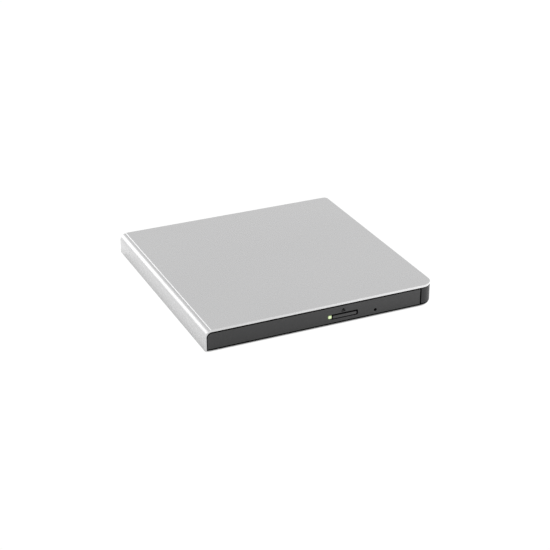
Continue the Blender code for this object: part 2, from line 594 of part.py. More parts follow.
join(traverse_base, box("screw_post", 62.3, 64.3, SCREW_V - 1.8, SCREW_V + 1.8, 4.7, 7.3, parent=feed_frame))
cut(traverse_base, box("screw_seat", 60, 66, SCREW_V - 0.75, SCREW_V + 0.75, SHAFT_Z - 0.8, 9, parent=feed_frame))
for name, (du, dv) in DAMPERS.items():
    cut(traverse_base, hole(name + "_ear_hole", du, dv, 1.3, 3, 7, 14, parent=feed_frame))
    turned(name, [(1.0, 5.2), (2.2, 5.2), (2.4, 5.5), (2.4, 6.2), (2.2, 6.6), (1.0, 6.6)], 20, RUBBER, parent=feed_frame, place=(du, dv, 0))

rod("guide_shaft_main", SHAFT_R, 50.8, 16, STEEL, feed_frame, (13.2, SHAFT_V_MAIN, SHAFT_Z))
rod("guide_shaft_sub", SHAFT_R, 50.8, 16, STEEL, feed_frame, (13.2, SHAFT_V_SUB, SHAFT_Z))

# lead screw: a ridge that climbs one pitch a turn, run out into plain collars at its ends
SEG, ROWS = 12, 6
THREAD_U0, TURNS = 19.0, 14
ridge = [SCREW_ROOT, SCREW_ROOT, SCREW_ROOT, SCREW_CREST, SCREW_CREST, SCREW_ROOT]
along = [0.0, 1.05, 2.1, 2.3, 2.75, 2.95]
bm = bmesh.new()
grid = []
for i in range(SEG):
    a = 2 * math.pi * i / SEG
    line = []
    for t in range(TURNS):
        for k in range(ROWS):
            r = ridge[k]
            if t == 0 or t == TURNS - 1:
                r = SCREW_ROOT
            u = THREAD_U0 + SCREW_PITCH * t + along[k] + SCREW_PITCH * i / SEG
            # angle is measured about +u, from +v towards +z
            line.append(bm.verts.new((u, r * math.cos(a), r * math.sin(a))))
    grid.append(line)
last = TURNS * ROWS - 1
for i in range(SEG):
    for k in range(last):
        if i < SEG - 1:
            a, b, c, d = grid[i][k], grid[i][k + 1], grid[i + 1][k + 1], grid[i + 1][k]
        else:
            if k + ROWS + 1 > last:
                continue
            a, b, c, d = grid[i][k], grid[i][k + 1], grid[0][k + ROWS + 1], grid[0][k + ROWS]
        bm.faces.new((a, b, c, d))
start_loop = [grid[i][0] for i in range(SEG)] + [grid[0][k] for k in range(ROWS, 0, -1)]
c0 = bm.verts.new((THREAD_U0 + SCREW_PITCH / 2, 0, 0))
for a, b in zip(start_loop, start_loop[1:] + start_loop[:1]):
    bm.faces.new((a, b, c0))
c1 = bm.verts.new((THREAD_U0 + SCREW_PITCH * (TURNS + 0.4), 0, 0))
end_loop = [grid[i][last] for i in range(SEG)] + [grid[SEG - 1][k] for k in range(last - 1, last - ROWS - 1, -1)]
for a, b in zip(end_loop, end_loop[1:] + end_loop[:1]):
    bm.faces.new((a, b, c1))
lead_screw = finish("lead_screw", bm, STEEL, feed_frame, (0, SCREW_V, SHAFT_Z))
THREAD_END = THREAD_U0 + SCREW_PITCH * TURNS
join(
    lead_screw,
    rod("screw_collar_inner", SCREW_ROOT + 0.25, 4.6, 16, parent=feed_frame, start=(18.1, SCREW_V, SHAFT_Z)),
    rod("screw_collar_outer", SCREW_ROOT + 0.3, 2.2, 16, parent=feed_frame, start=(59.5, SCREW_V, SHAFT_Z)),
    rod("screw_journal", 0.5, 5.0, 12, parent=feed_frame, start=(59.8, SCREW_V, SHAFT_Z)),
)
bm = bmesh.new()
outline = rounded([(-2.35, -1.5, 1.2), (2.35, -1.5, 1.2), (2.35, 1.5, 1.2), (-2.35, 1.5, 1.2)], 4)
verts = [bm.verts.new((8.0, y, z)) for y, z in outline]
face = bm.faces.new(verts)
grown = bmesh.ops.extrude_face_region(bm, geom=[face])
bmesh.ops.translate(bm, vec=(9.7, 0, 0), verts=[g for g in grown["geom"] if isinstance(g, bmesh.types.BMVert)])
feed_motor = finish("feed_motor", bm, STEEL, feed_frame, (0, SCREW_V, SHAFT_Z))

# pickup sled
U = LENS_U
optical_pickup = box("optical_pickup", U - 8, U + 5.5, -10.0, 9.3, 5.25, 7.6, ((0.10, 0.10, 0.11), 0.45, 0.3), parent=feed_frame, edge=0.2)
join(
    optical_pickup,
    box("sled_bushing", U - 8, U + 5.5, -14.55, -9.5, 4.8, 7.25, parent=feed_frame, edge=0.15),
    box("sled_fork", U - 3, U + 3, 9.0, 13.1, 4.8, 7.25, parent=feed_frame, edge=0.15),
    box("sled_arm", U - 3.4, U + 2.4, -15.6, -14.0, 5.3, 6.7, parent=feed_frame),
)
TOOTH_U = (U - 1.5, U + 1.5)
for k, tu in enumerate(TOOTH_U):
    join(optical_pickup, box(f"sled_tooth_{k}", tu - 0.35, tu + 0.35, SCREW_V + 0.88, -15.2, SHAFT_Z - 0.28, SHAFT_Z + 0.28, parent=feed_frame))
cut(
    optical_pickup,
    rod("sled_bore", 1.0, 30, 24, parent=feed_frame, start=(U - 15, SHAFT_V_MAIN, SHAFT_Z)),
    box("sled_slot", U - 6, U + 6, 10.3, 15, SHAFT_Z - 1.0, SHAFT_Z + 1.0, parent=feed_frame),
    box("actuator_pocket", U - 5.2, U + 4.6, -7.2, 7.2, 6.15, 9, parent=feed_frame),
)
pickup_shield = prism(
    "pickup_shield", rounded([(U - 8, -10, 1.2), (U + 5.5, -10, 1.2), (U + 5.5, 9.3, 1.2), (U - 8, 9.3, 1.2)], 3), 7.7, 7.95,
    ((0.05, 0.05, 0.055), 0.4, 0.2), parent=feed_frame,
)
cut(pickup_shield, prism("shield_opening", rounded([(U - 4.7, -6.4, 0.8), (U + 4.4, -6.4, 0.8), (U + 4.4, 6.4, 0.8), (U - 4.7, 6.4, 0.8)], 2), 7, 9, parent=feed_frame))
lens_holder = box("lens_holder", U - 3.9, U + 3.6, -5.6, 5.6, 6.75, 7.45, DARK, parent=feed_frame, edge=0.15)
join(lens_holder, turned("lens_barrel", [(0, 7.2), (2.75, 7.2), (2.6, 7.95), (0, 7.95)], 28, parent=feed_frame, place=(U, 0, 0)))
cut(lens_holder, turned("lens_seat", [(0, 7.35), (2.3, 7.35), (2.3, 9), (0, 9)], 28, parent=feed_frame, place=(U, 0, 0)))
objective_lens = turned(
    "objective_lens",
    [(0, 7.42), (2.2, 7.42), (2.2, 7.78)] + [(2.2 * math.cos(a), 7.78 + 0.45 * math.sin(a)) for a in (0.35, 0.75, 1.15)] + [(0, 8.23)],
    28, GLASS, parent=feed_frame, place=(U, 0, 0),
)

# spindle motor
motor_base = turned("motor_base", [(1.2, 5.4), (12.3, 5.4), (12.3, 5.75), (2.6, 5.75), (2.6, 7.3), (1.2, 7.3)], 40, STEEL, parent=feed_frame)
teeth = []
for k in range(36):
    a = 2 * math.pi * k / 36
    r = (10.3, 10.3, 5.2)[k % 3]
    teeth.append((r * math.cos(a), r * math.sin(a)))
motor_stator = prism("motor_stator", teeth, 6.1, 7.2, BRASS, parent=feed_frame)
cut(motor_stator, hole("stator_bore", 0, 0, 2.9, 5, 8, 24, parent=feed_frame))
spindle_rotor = turned(
    "spindle_rotor",
    [(0, 4.8), (0.95, 4.8), (0.95, 7.55), (10.8, 7.55), (10.8, 6.15), (11.5, 6.15), (11.5, 8.0), (14.5, 8.0), (14.6, 8.1),
     (14.6, 8.75), (14.5, 8.85), (14.3, 8.85), (14.3, 8.35), (12.1, 8.35), (12.1, 8.85), (7.45, 8.85), (7.35, 10.2), (6.7, 10.8), (3.4, 10.8), (3.2, 10.5), (0, 10.5)],
    48, STEEL, parent=feed_frame,
)
turntable_ring = turned("turntable_ring", [(12.2, 8.42), (14.2, 8.42), (14.2, 8.95), (12.2, 8.95)], 48, RUBBER, parent=feed_frame)
for k in range(3):
    ang = math.radians(30 + 120 * k)
    seat = box(f"claw_seat_{k}", 4.2, 9.0, -1.3, 1.3, 9.25, 10.15)
    seat.parent = feed_frame
    seat.rotation_euler = (0, 0, ang)
    cut(spindle_rotor, seat)
    claw_outline = [(5.0, -1.0), (7.2, -1.0), (7.75, -0.5), (7.75, 0.5), (7.2, 1.0), (5.0, 1.0)]
    claw = prism(f"hub_claw_{k + 1}", claw_outline, 9.4, 10.0, STEEL, parent=feed_frame)
    claw.rotation_euler = (0, 0, ang)

traverse_cover = prism(
    "traverse_cover", rounded([(-20, -21.5, 3), (65, -21.5, 3), (65, 15.2, 3), (-20, 15.2, 3)], 5), 7.7, 8.3, DARK, parent=feed_frame
)
cut(
    traverse_cover,
    hole("cover_hub_hole", 0, 0, 15.3, 6, 10, 48, parent=feed_frame),
    prism("cover_slot", rounded([(10, -10.9, 0.5), (62.6, -10.9, 2.5), (62.6, 10.2, 2.5), (10, 10.2, 0.5)], 4), 6.1, 10.1, parent=feed_frame),
)

# ---------------------------------------------------------------- tray catch
latch_axis = bpy.data.objects.new("latch_axis", None)
latch_axis.location = (LATCH_X * MM, LATCH_Y * MM, 0)
bpy.context.scene.collection.objects.link(latch_axis)
latch_lever = prism(
    "latch_lever",
    [(-17.6, -0.8), (-1.6, -0.8), (-0.9, -1.7), (1.2, -1.8), (3.0, -0.4), (3.0, 12.0), (-0.4, 12.0), (-0.4, 10.8), (1.7, 10.8), (1.7, 1.9), (0, 2.1), (-1.6, 0.8), (-17.6, 0.8)],
    3.8, 4.55, WHITE, parent=latch_axis,
)
join(latch_lever, box("latch_upstand", -7.0, -5.0, -0.6, 0.6, 4.2, 6.2, parent=latch_axis))
cut(latch_lever, hole("latch_hole", 0, 0, 1.05, 2, 6, 16, parent=latch_axis))
solenoid = box("solenoid", 41.0, 49.0, -59.0, -50.2, 4.85, 6.8, BRASS, edge=0.2)
cut(solenoid, rod("solenoid_bore", 0.8, 9, 16, start=(45.0, -60.5, 5.75), along="Y"))
solenoid_plunger = rod("solenoid_plunger", 0.6, 6.4, 14, STEEL, start=(45.0, -61.0, 5.75), along="Y")

# ---------------------------------------------------------------- spring pusher that starts the tray on its way out
eject_pusher = rod("eject_pusher", 0.75, 36.5, 16, WHITE, start=(PUSH_X, 21.0, PUSH_Z), along="Y")
join(eject_pusher, rod("pusher_collar", 1.15, 1.8, 16, start=(PUSH_X, 41.2, PUSH_Z), along="Y"))
bm = bmesh.new()
coil_r, wire_r, turns, per_turn, around = 1.05, 0.13, 9, 10, 5
rings = []
for i in range(turns * per_turn + 1):
    t = i / per_turn
    a = 2 * math.pi * t
    centre = Vector((coil_r * math.cos(a), 32.15 + 8.7 * t / turns, coil_r * math.sin(a)))
    out = Vector((math.cos(a), 0, math.sin(a)))
    lean = Vector((0, 1, 0))
    rings.append([bm.verts.new(centre + wire_r * (out * math.cos(2 * math.pi * j / around) + lean * math.sin(2 * math.pi * j / around))) for j in range(around)])
for a, b in zip(rings, rings[1:]):
    for i in range(around):
        j = (i + 1) % around
        bm.faces.new((a[i], a[j], b[j], b[i]))
bm.faces.new(rings[0])
bm.faces.new(rings[-1])
eject_spring = finish("eject_spring", bm, STEEL, None, (PUSH_X, 0, PUSH_Z))
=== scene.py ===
"""Looks of the slim external optical drive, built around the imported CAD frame.

Lengths in the shape helpers are millimetres in the row frame; meshes are stored in metres.
"""

import json
import math

import bmesh
import bpy
from mathutils import Matrix, Vector
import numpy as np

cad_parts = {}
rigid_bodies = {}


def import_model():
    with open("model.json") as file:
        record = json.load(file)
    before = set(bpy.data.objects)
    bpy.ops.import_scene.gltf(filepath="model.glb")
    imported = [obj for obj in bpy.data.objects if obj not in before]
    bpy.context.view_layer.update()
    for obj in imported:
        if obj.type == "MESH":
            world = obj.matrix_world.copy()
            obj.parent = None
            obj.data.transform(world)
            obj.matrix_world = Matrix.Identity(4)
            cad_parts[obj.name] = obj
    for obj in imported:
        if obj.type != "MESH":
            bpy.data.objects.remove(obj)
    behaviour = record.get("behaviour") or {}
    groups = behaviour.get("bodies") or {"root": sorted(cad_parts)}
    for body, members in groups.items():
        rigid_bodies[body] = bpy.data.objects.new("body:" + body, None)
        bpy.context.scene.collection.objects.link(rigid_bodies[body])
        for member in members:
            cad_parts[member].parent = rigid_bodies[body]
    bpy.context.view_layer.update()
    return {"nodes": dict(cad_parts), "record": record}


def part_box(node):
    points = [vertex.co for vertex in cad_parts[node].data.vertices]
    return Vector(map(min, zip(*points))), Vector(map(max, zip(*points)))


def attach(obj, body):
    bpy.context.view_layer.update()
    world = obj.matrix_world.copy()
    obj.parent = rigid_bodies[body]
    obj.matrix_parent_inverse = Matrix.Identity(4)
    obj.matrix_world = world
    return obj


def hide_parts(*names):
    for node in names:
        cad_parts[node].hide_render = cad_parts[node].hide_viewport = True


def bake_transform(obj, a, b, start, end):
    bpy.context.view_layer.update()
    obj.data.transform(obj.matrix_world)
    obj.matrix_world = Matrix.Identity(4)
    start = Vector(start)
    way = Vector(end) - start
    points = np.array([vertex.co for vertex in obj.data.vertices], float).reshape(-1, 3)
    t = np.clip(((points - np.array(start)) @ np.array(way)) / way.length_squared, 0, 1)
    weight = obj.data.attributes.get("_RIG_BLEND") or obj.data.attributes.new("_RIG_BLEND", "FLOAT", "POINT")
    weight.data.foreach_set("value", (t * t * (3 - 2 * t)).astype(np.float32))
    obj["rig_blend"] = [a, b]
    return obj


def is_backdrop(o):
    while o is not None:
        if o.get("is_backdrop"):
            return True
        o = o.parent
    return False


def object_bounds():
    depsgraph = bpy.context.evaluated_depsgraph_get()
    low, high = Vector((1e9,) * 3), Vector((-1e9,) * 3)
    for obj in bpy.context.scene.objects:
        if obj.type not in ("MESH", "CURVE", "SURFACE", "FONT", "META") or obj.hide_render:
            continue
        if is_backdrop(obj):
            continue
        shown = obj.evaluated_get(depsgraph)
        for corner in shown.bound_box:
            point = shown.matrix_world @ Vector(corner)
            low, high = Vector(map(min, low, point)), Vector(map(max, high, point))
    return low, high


for old in list(bpy.data.objects):
    bpy.data.objects.remove(old, do_unlink=True)

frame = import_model()
NODES = frame["nodes"]
BODY_OF = {n: b for b, ns in frame["record"]["behaviour"]["bodies"].items() for n in ns}
MM = 0.001
scene = bpy.context.scene


# ------------------------------------------------------------------ shape helpers
def raw(name, bm):
    bmesh.ops.recalc_face_normals(bm, faces=bm.faces)
    if bm.calc_volume(signed=True) < 0:
        bmesh.ops.reverse_faces(bm, faces=bm.faces)
    bmesh.ops.scale(bm, vec=(MM, MM, MM), verts=bm.verts)
    mesh = bpy.data.meshes.new(name)
    bm.to_mesh(mesh)
    bm.free()
    obj = bpy.data.objects.new(name, mesh)
    scene.collection.objects.link(obj)
    return obj


def sweep(name, points, direction):
    """Closed outline of 3-D points carried along a direction."""
    bm = bmesh.new()
    face = bm.faces.new([bm.verts.new(p) for p in points])
    grown = bmesh.ops.extrude_face_region(bm, geom=[face])
    bmesh.ops.translate(bm, vec=direction, verts=[g for g in grown["geom"] if isinstance(g, bmesh.types.BMVert)])
    return raw(name, bm)


def prism(name, points, z0, z1):
    return sweep(name, [(x, y, z0) for x, y in points], (0, 0, z1 - z0))


def section(name, points, y0, y1):
    return sweep(name, [(x, y0, z) for x, z in points], (0, y1 - y0, 0))


def block(name, x0, x1, y0, y1, z0, z1):
    return prism(name, [(x0, y0), (x1, y0), (x1, y1), (x0, y1)], z0, z1)


def turned(name, profile, n, at=(0, 0, 0)):
    bm = bmesh.new()
    rings = []
    for r, z in profile:
        if r < 1e-6:
            rings.append([bm.verts.new((0, 0, z))])
        else:
            rings.append([bm.verts.new((r * math.cos(2 * math.pi * i / n), r * math.sin(2 * math.pi * i / n), z)) for i in range(n)])
    pairs = list(zip(rings, rings[1:]))
    if profile[0][0] >= 1e-6:
        pairs.append((rings[-1], rings[0]))
    for a, b in pairs:
        for i in range(n):
            j = (i + 1) % n
            if len(a) == 1 and len(b) == 1:
                continue
            if len(a) == 1:
                bm.faces.new((a[0], b[i], b[j]))
            elif len(b) == 1:
                bm.faces.new((a[j], a[i], b[0]))
            else:
                bm.faces.new((a[j], a[i], b[i], b[j]))
    bmesh.ops.translate(bm, vec=at, verts=bm.verts)
    return raw(name, bm)


def barrel(name, x, y, z, r, length, n=32, axis="Y"):
    """Round bar from (x, y, z) along an axis."""
    pts = [(r * math.cos(2 * math.pi * i / n), r * math.sin(2 * math.pi * i / n)) for i in range(n)]
    if axis == "Y":
        return sweep(name, [(x + a, y, z + b) for a, b in pts], (0, length, 0))
    if axis == "X":
        return sweep(name, [(x, y + a, z + b) for a, b in pts], (length, 0, 0))
    return sweep(name, [(x + a, y + b, z) for a, b in pts], (0, 0, length))


def rounded(corners, seg=10):
    """Outline through corners given as (x, y, radius), with arcs at the corners."""
    out = []
    n = len(corners)
    for i, (x, y, r) in enumerate(corners):
        if r <= 0:
            out.append((x, y))
            continue
        p = Vector((x, y))
        a = (Vector(corners[i - 1][:2]) - p).normalized()
        b = (Vector(corners[(i + 1) % n][:2]) - p).normalized()
        half = math.acos(max(-1, min(1, a.dot(b)))) / 2
        centre = p + (a + b).normalized() * (r / math.sin(half))
        s = p + a * (r / math.tan(half)) - centre
        e = p + b * (r / math.tan(half)) - centre
        turn = s.angle_signed(e)
        for k in range(seg + 1):
            q = centre + Matrix.Rotation(-turn * k / seg, 2) @ s
            out.append((q.x, q.y))
    return out


def disc(x, y, r, n=64):
    return [(x + r * math.cos(2 * math.pi * i / n), y + r * math.sin(2 * math.pi * i / n)) for i in range(n)]


def combine(target, operation, *tools):
    """Boolean the tools into target, bake the result and throw the tools away."""
    for t in tools:
        mod = target.modifiers.new("b", "BOOLEAN")
        mod.operation, mod.solver, mod.object = operation, "EXACT", t
    bake(target)
    for t in tools:
        bpy.data.objects.remove(t, do_unlink=True)
    return target


def cut(target, *tools):
    return combine(target, "DIFFERENCE", *tools)


def join(target, *tools):
    return combine(target, "UNION", *tools)


def bake(obj):
    bpy.context.view_layer.update()
    graph = bpy.context.evaluated_depsgraph_get()
    mesh = bpy.data.meshes.new_from_object(obj.evaluated_get(graph), depsgraph=graph)
    obj.modifiers.clear()
    obj.data = mesh
    return obj


def clean(obj, flat=0.2):
    """Weld, and turn each flat region into one face, so that a bevel has clean edges to follow."""
    bm = bmesh.new()
    bm.from_mesh(obj.data)
    bmesh.ops.remove_doubles(bm, verts=bm.verts, dist=2e-6)
    bmesh.ops.dissolve_degenerate(bm, dist=1e-6, edges=bm.edges)
    bmesh.ops.dissolve_limit(bm, angle_limit=math.radians(flat), verts=bm.verts, edges=bm.edges, delimit={"NORMAL"})
    bm.to_mesh(obj.data)
    bm.free()
    return obj


def soften(obj, width, seg=2, angle=28, share=None):
    """Round the sharp edges by width millimetres and bake it, with smooth shading between them.

    share(middle) gives an edge's part of the width, 0 to 1, from its middle in millimetres.
    """
    clean(obj)
    obj.data.shade_smooth()
    obj.data.set_sharp_from_angle(angle=math.radians(angle))
    if width:
        mod = obj.modifiers.new("edge", "BEVEL")
        mod.width, mod.segments = width * MM, seg
        if share:
            mesh = obj.data
            bm = bmesh.new()
            bm.from_mesh(mesh)
            layer = bm.edges.layers.float.new("bevel_weight_edge")
            for e in bm.edges:
                if len(e.link_faces) == 2 and e.calc_face_angle(0) > math.radians(angle):
                    e[layer] = share((e.verts[0].co + e.verts[1].co) / (2 * MM))
            bm.to_mesh(mesh)
            bm.free()
            mod.limit_method = "WEIGHT"
        else:
            mod.limit_method, mod.angle_limit = "ANGLE", math.radians(angle)
        mod.harden_normals = True
        mod.use_clamp_overlap = True
        mod.miter_outer = "MITER_ARC" if seg > 1 else "MITER_SHARP"
        bake(obj)
    return obj


def stand(obj, body, look, *nodes, slot=None):
    """Give a finished piece its look and body, and let it stand for CAD nodes."""
    obj.data.materials.clear()
    obj.data.materials.append(look)
    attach(obj, body)
    if nodes:
        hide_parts(*nodes)
    return obj


def polish(node, look, width=0.1, seg=2, angle=28, name=None):
    """A finely edged copy of a CAD node, which it replaces."""
    source = NODES[node]
    obj = bpy.data.objects.new(name or node + "_part", source.data.copy())
    scene.collection.objects.link(obj)
    for key in list(obj.keys()):
        del obj[key]
    if obj.data.has_custom_normals:
        bpy.context.view_layer.objects.active = obj
        bpy.ops.mesh.customdata_custom_splitnormals_clear()
    soften(obj, width, seg, angle)
    return stand(obj, BODY_OF[node], look, node)


# ------------------------------------------------------------------ material helpers
class Look:
    """A node material under construction."""

    def __init__(self, name, colour, rough, metal=0.0):
        self.mat = bpy.data.materials.new(name)
        self.mat.use_nodes = True
        self.tree = self.mat.node_tree
        self.bsdf = self.tree.nodes["Principled BSDF"]
        self.bsdf.inputs["Base Color"].default_value = (*colour, 1)
        self.bsdf.inputs["Roughness"].default_value = rough
        self.bsdf.inputs["Metallic"].default_value = metal
        self.mat.diffuse_color = (*colour, 1)
        self.coord = self.node("ShaderNodeTexCoord").outputs["Object"]

    def node(self, kind, **values):
        n = self.tree.nodes.new(kind)
        for k, v in values.items():
            setattr(n, k, v)
        return n

    def link(self, a, b):
        self.tree.links.new(a, b)

    def put(self, name, socket):
        self.link(socket, self.bsdf.inputs[name])

    def stretch(self, x, y, z, turn=0.0):
        m = self.node("ShaderNodeMapping")
        m.inputs["Scale"].default_value = (x, y, z)
        m.inputs["Rotation"].default_value = (0, 0, turn)
        self.link(self.coord, m.inputs["Vector"])
        return m.outputs["Vector"]

    def noise(self, scale, detail=3.0, rough=0.5, where=None):
        n = self.node("ShaderNodeTexNoise")
        n.inputs["Scale"].default_value = scale
        n.inputs["Detail"].default_value = detail
        n.inputs["Roughness"].default_value = rough
        self.link(where or self.coord, n.inputs["Vector"])
        return n.outputs["Fac"]

    def cells(self, scale, feature="F1", where=None, out="Color"):
        n = self.node("ShaderNodeTexVoronoi", feature=feature)
        n.inputs["Scale"].default_value = scale
        self.link(where or self.coord, n.inputs["Vector"])
        return n.outputs[out]

    def span(self, value, a, b, lo, hi):
        """value mapped from a..b to lo..hi, held at the ends."""
        n = self.node("ShaderNodeMapRange")
        n.inputs["From Min"].default_value, n.inputs["From Max"].default_value = a, b
        n.inputs["To Min"].default_value, n.inputs["To Max"].default_value = lo, hi
        self.link(value, n.inputs["Value"])
        return n.outputs["Result"]

    def math(self, op, a, b):
        n = self.node("ShaderNodeMath", operation=op)
        for i, v in enumerate((a, b)):
            if isinstance(v, (int, float)):
                n.inputs[i].default_value = v
            else:
                self.link(v, n.inputs[i])
        return n.outputs[0]

    def mix(self, fac, a, b):
        n = self.node("ShaderNodeMix", data_type="RGBA")
        for socket, v in ((n.inputs["Factor"], fac), (n.inputs["A"], a), (n.inputs["B"], b)):
            if isinstance(v, (int, float)):
                socket.default_value = v
            elif isinstance(v, tuple):
                socket.default_value = (*v, 1)
            else:
                self.link(v, socket)
        return n.outputs["Result"]

    def bump(self, height, strength, distance):
        n = self.node("ShaderNodeBump")
        n.inputs["Strength"].default_value = strength
        n.inputs["Distance"].default_value = distance * MM
        self.link(height, n.inputs["Height"])
        old = self.bsdf.inputs["Normal"].links
        if old:
            self.link(old[0].from_socket, n.inputs["Normal"])
        self.put("Normal", n.outputs["Normal"])
        return n.outputs["Normal"]

    def painted_joint_shade(self, reach, floor=0.0):
        """Painted shade: 1 in the open, falling to floor inside joints narrower than reach."""
        a = self.node("ShaderNodeAmbientOcclusion", samples=10)
        a.inputs["Distance"].default_value = reach * MM
        return self.span(a.outputs["AO"], 0.25, 0.8, floor, 1.0)

    def axis(self, name):
        """One coordinate of the point, in the row frame."""
        n = self.node("ShaderNodeSeparateXYZ")
        self.link(self.coord, n.inputs["Vector"])
        return n.outputs[name]

    def edges(self, radius):
        """1 along convex and concave edges, 0 on flat ground."""
        b = self.node("ShaderNodeBevel", samples=6)
        b.inputs["Radius"].default_value = radius * MM
        g = self.node("ShaderNodeNewGeometry")
        d = self.node("ShaderNodeVectorMath", operation="DOT_PRODUCT")
        self.link(b.outputs["Normal"], d.inputs[0])
        self.link(g.outputs["Normal"], d.inputs[1])
        return self.span(d.outputs["Value"], 0.995, 0.85, 0.0, 1.0)


def silver_paint():
    m = Look("silver_paint", (0.505, 0.505, 0.507), 0.26, 0.85)
    cloud = m.noise(14, 2)
    flake = m.cells(5200, out="Color")
    tone = m.mix(m.span(cloud, 0.35, 0.65, 0, 1), (0.4985, 0.4985, 0.501), (0.5065, 0.5065, 0.509))
    grey = m.node("ShaderNodeSeparateColor")
    m.link(flake, grey.inputs["Color"])
    tone = m.mix(m.span(grey.outputs["Red"], 0, 1, 0.025, 0.08), tone, (0.70, 0.70, 0.705))
    wear = m.math("MULTIPLY", m.edges(0.35), m.span(m.noise(900, 3), 0.52, 0.7, 0, 0.5))
    m.put("Base Color", m.mix(wear, tone, (0.8, 0.8, 0.81)))
    smudge = m.span(m.noise(38, 4, 0.6), 0.3, 0.75, 0.01, 0.035)
    m.put("Roughness", m.math("ADD", m.math("ADD", m.span(grey.outputs["Green"], 0, 1, 0.22, 0.28), smudge), 0.0))
    m.bump(m.noise(1500, 2), 0.035, 0.012)
    m.bump(m.noise(160, 1), 0.05, 0.02)
    m.bsdf.inputs["Coat Weight"].default_value = 0.12
    m.bsdf.inputs["Coat Roughness"].default_value = 0.2
    return m.mat


def black_plastic(name, colour, rough, grain=2600, depth=0.35, reach=1.3, foot=False, face=False, gloss=0.5):
    """Moulded black plastic: spark-eroded grain, rubbed edges, and painted shade darkening its joints."""
    m = Look(name, colour, rough)
    fine = m.noise(grain, 2, 0.6)
    pits = m.cells(grain * 0.8, feature="SMOOTH_F1", out="Distance")
    tone = m.mix(m.span(m.noise(30, 3), 0.3, 0.7, 0, 1), tuple(c * 0.92 for c in colour), tuple(c * 1.08 for c in colour))
    wear = m.math("MULTIPLY", m.edges(0.3), m.span(m.noise(700, 3), 0.45, 0.75, 0.05, 0.45))
    tone = m.mix(wear, tone, tuple(min(1, c * 2.2 + 0.01) for c in colour))
    # painted shade: colour and gloss fall towards black inside joints, wherever this mask drops
    free_of_painted_shade = m.painted_joint_shade(reach)
    if foot:
        # painted shade on the recessed band round the base, below about 2.4 mm; the underside itself is plain plastic
        facing = m.node("ShaderNodeSeparateXYZ")
        m.link(m.node("ShaderNodeNewGeometry").outputs["Normal"], facing.inputs["Vector"])
        below = m.span(facing.outputs["Z"], -0.85, -0.6, 1.0, 0.0)
        free_of_painted_shade = m.math("MULTIPLY", free_of_painted_shade, m.math("MAXIMUM", below, m.span(m.axis("Z"), 0.00237, 0.00247, 0.0, 1.0)))
        # painted shade on the end face beside the front's seam
        seam_shade = m.math("MULTIPLY", m.span(m.axis("X"), 0.06342, 0.0635, 1.0, 0.0), m.span(m.axis("X"), 0.0632, 0.0633, 0.0, 1.0))
        seam_shade = m.math("MULTIPLY", seam_shade, m.span(m.axis("Y"), -0.0697, -0.0696, 1.0, 0.0))
        free_of_painted_shade = m.math("MULTIPLY", free_of_painted_shade, m.math("SUBTRACT", 1.0, seam_shade))
    if face:
        # painted shade behind the front face: walls of its openings and edges behind it are darkened, down to 0.22
        free_of_painted_shade = m.math("MULTIPLY", free_of_painted_shade, m.span(m.axis("Y"), -0.07094, -0.0708, 1.0, 0.22))
    m.put("Base Color", m.mix(free_of_painted_shade, tuple(c * 0.08 for c in colour), tone))
    m.put("Specular IOR Level", m.span(free_of_painted_shade, 0, 1, 0.02, gloss))
    m.put("Roughness", m.math("ADD", m.span(fine, 0.3, 0.7, rough - 0.05, rough + 0.05), m.span(m.noise(55, 3), 0.45, 0.75, 0, 0.06)))
    m.bump(pits, depth, 0.02)
    m.bump(fine, depth * 0.6, 0.015)
    return m.mat


def sheet_steel(name, colour=(0.45, 0.455, 0.468), rough=0.34, turn=0.0):
    """Zinc-coated sheet: rolling lines, and faint spangle."""
    m = Look(name, colour, rough, 1.0)
    lines = m.noise(1.0, 3, 0.6, m.stretch(1600, 45, 300, turn))
    spangle = m.cells(420, out="Color")
    grey = m.node("ShaderNodeSeparateColor")
    m.link(spangle, grey.inputs["Color"])
    tone = m.mix(m.span(grey.outputs["Red"], 0, 1, 0, 0.35), colour, tuple(c * 0.82 for c in colour))
    wear = m.math("MULTIPLY", m.edges(0.25), 0.5)
    m.put("Base Color", m.mix(wear, tone, (0.66, 0.66, 0.67)))
    m.put("Roughness", m.math("ADD", m.span(lines, 0.3, 0.7, rough - 0.06, rough + 0.07), m.span(m.noise(70, 4), 0.5, 0.8, 0, 0.12)))
    m.bump(lines, 0.12, 0.02)
    return m.mat


def ground_steel():
    """Polished shaft steel with fine turning marks."""
    m = Look("ground_steel", (0.66, 0.66, 0.67), 0.16, 1.0)
    marks = m.noise(1.0, 2, 0.5, m.stretch(4200, 4200, 4200))
    m.put("Roughness", m.span(marks, 0.3, 0.7, 0.12, 0.22))
    m.put("Base Color", m.mix(m.span(m.noise(200, 3), 0.45, 0.7, 0, 0.4), (0.68, 0.68, 0.69), (0.5, 0.5, 0.52)))
    m.bump(marks, 0.08, 0.01)
    return m.mat


def rubber(name="soft_rubber", colour=(0.03, 0.03, 0.031)):
    m = Look(name, colour, 0.88)
    skin = m.noise(1800, 4, 0.7)
    dust = m.span(m.noise(420, 5, 0.65), 0.52, 0.72, 0, 0.35)
    m.put("Base Color", m.mix(dust, colour, (0.11, 0.105, 0.1)))
    m.put("Roughness", m.span(skin, 0.3, 0.7, 0.8, 0.95))
    m.bump(skin, 0.4, 0.03)
    m.bsdf.inputs["Sheen Weight"].default_value = 0.15
    return m.mat


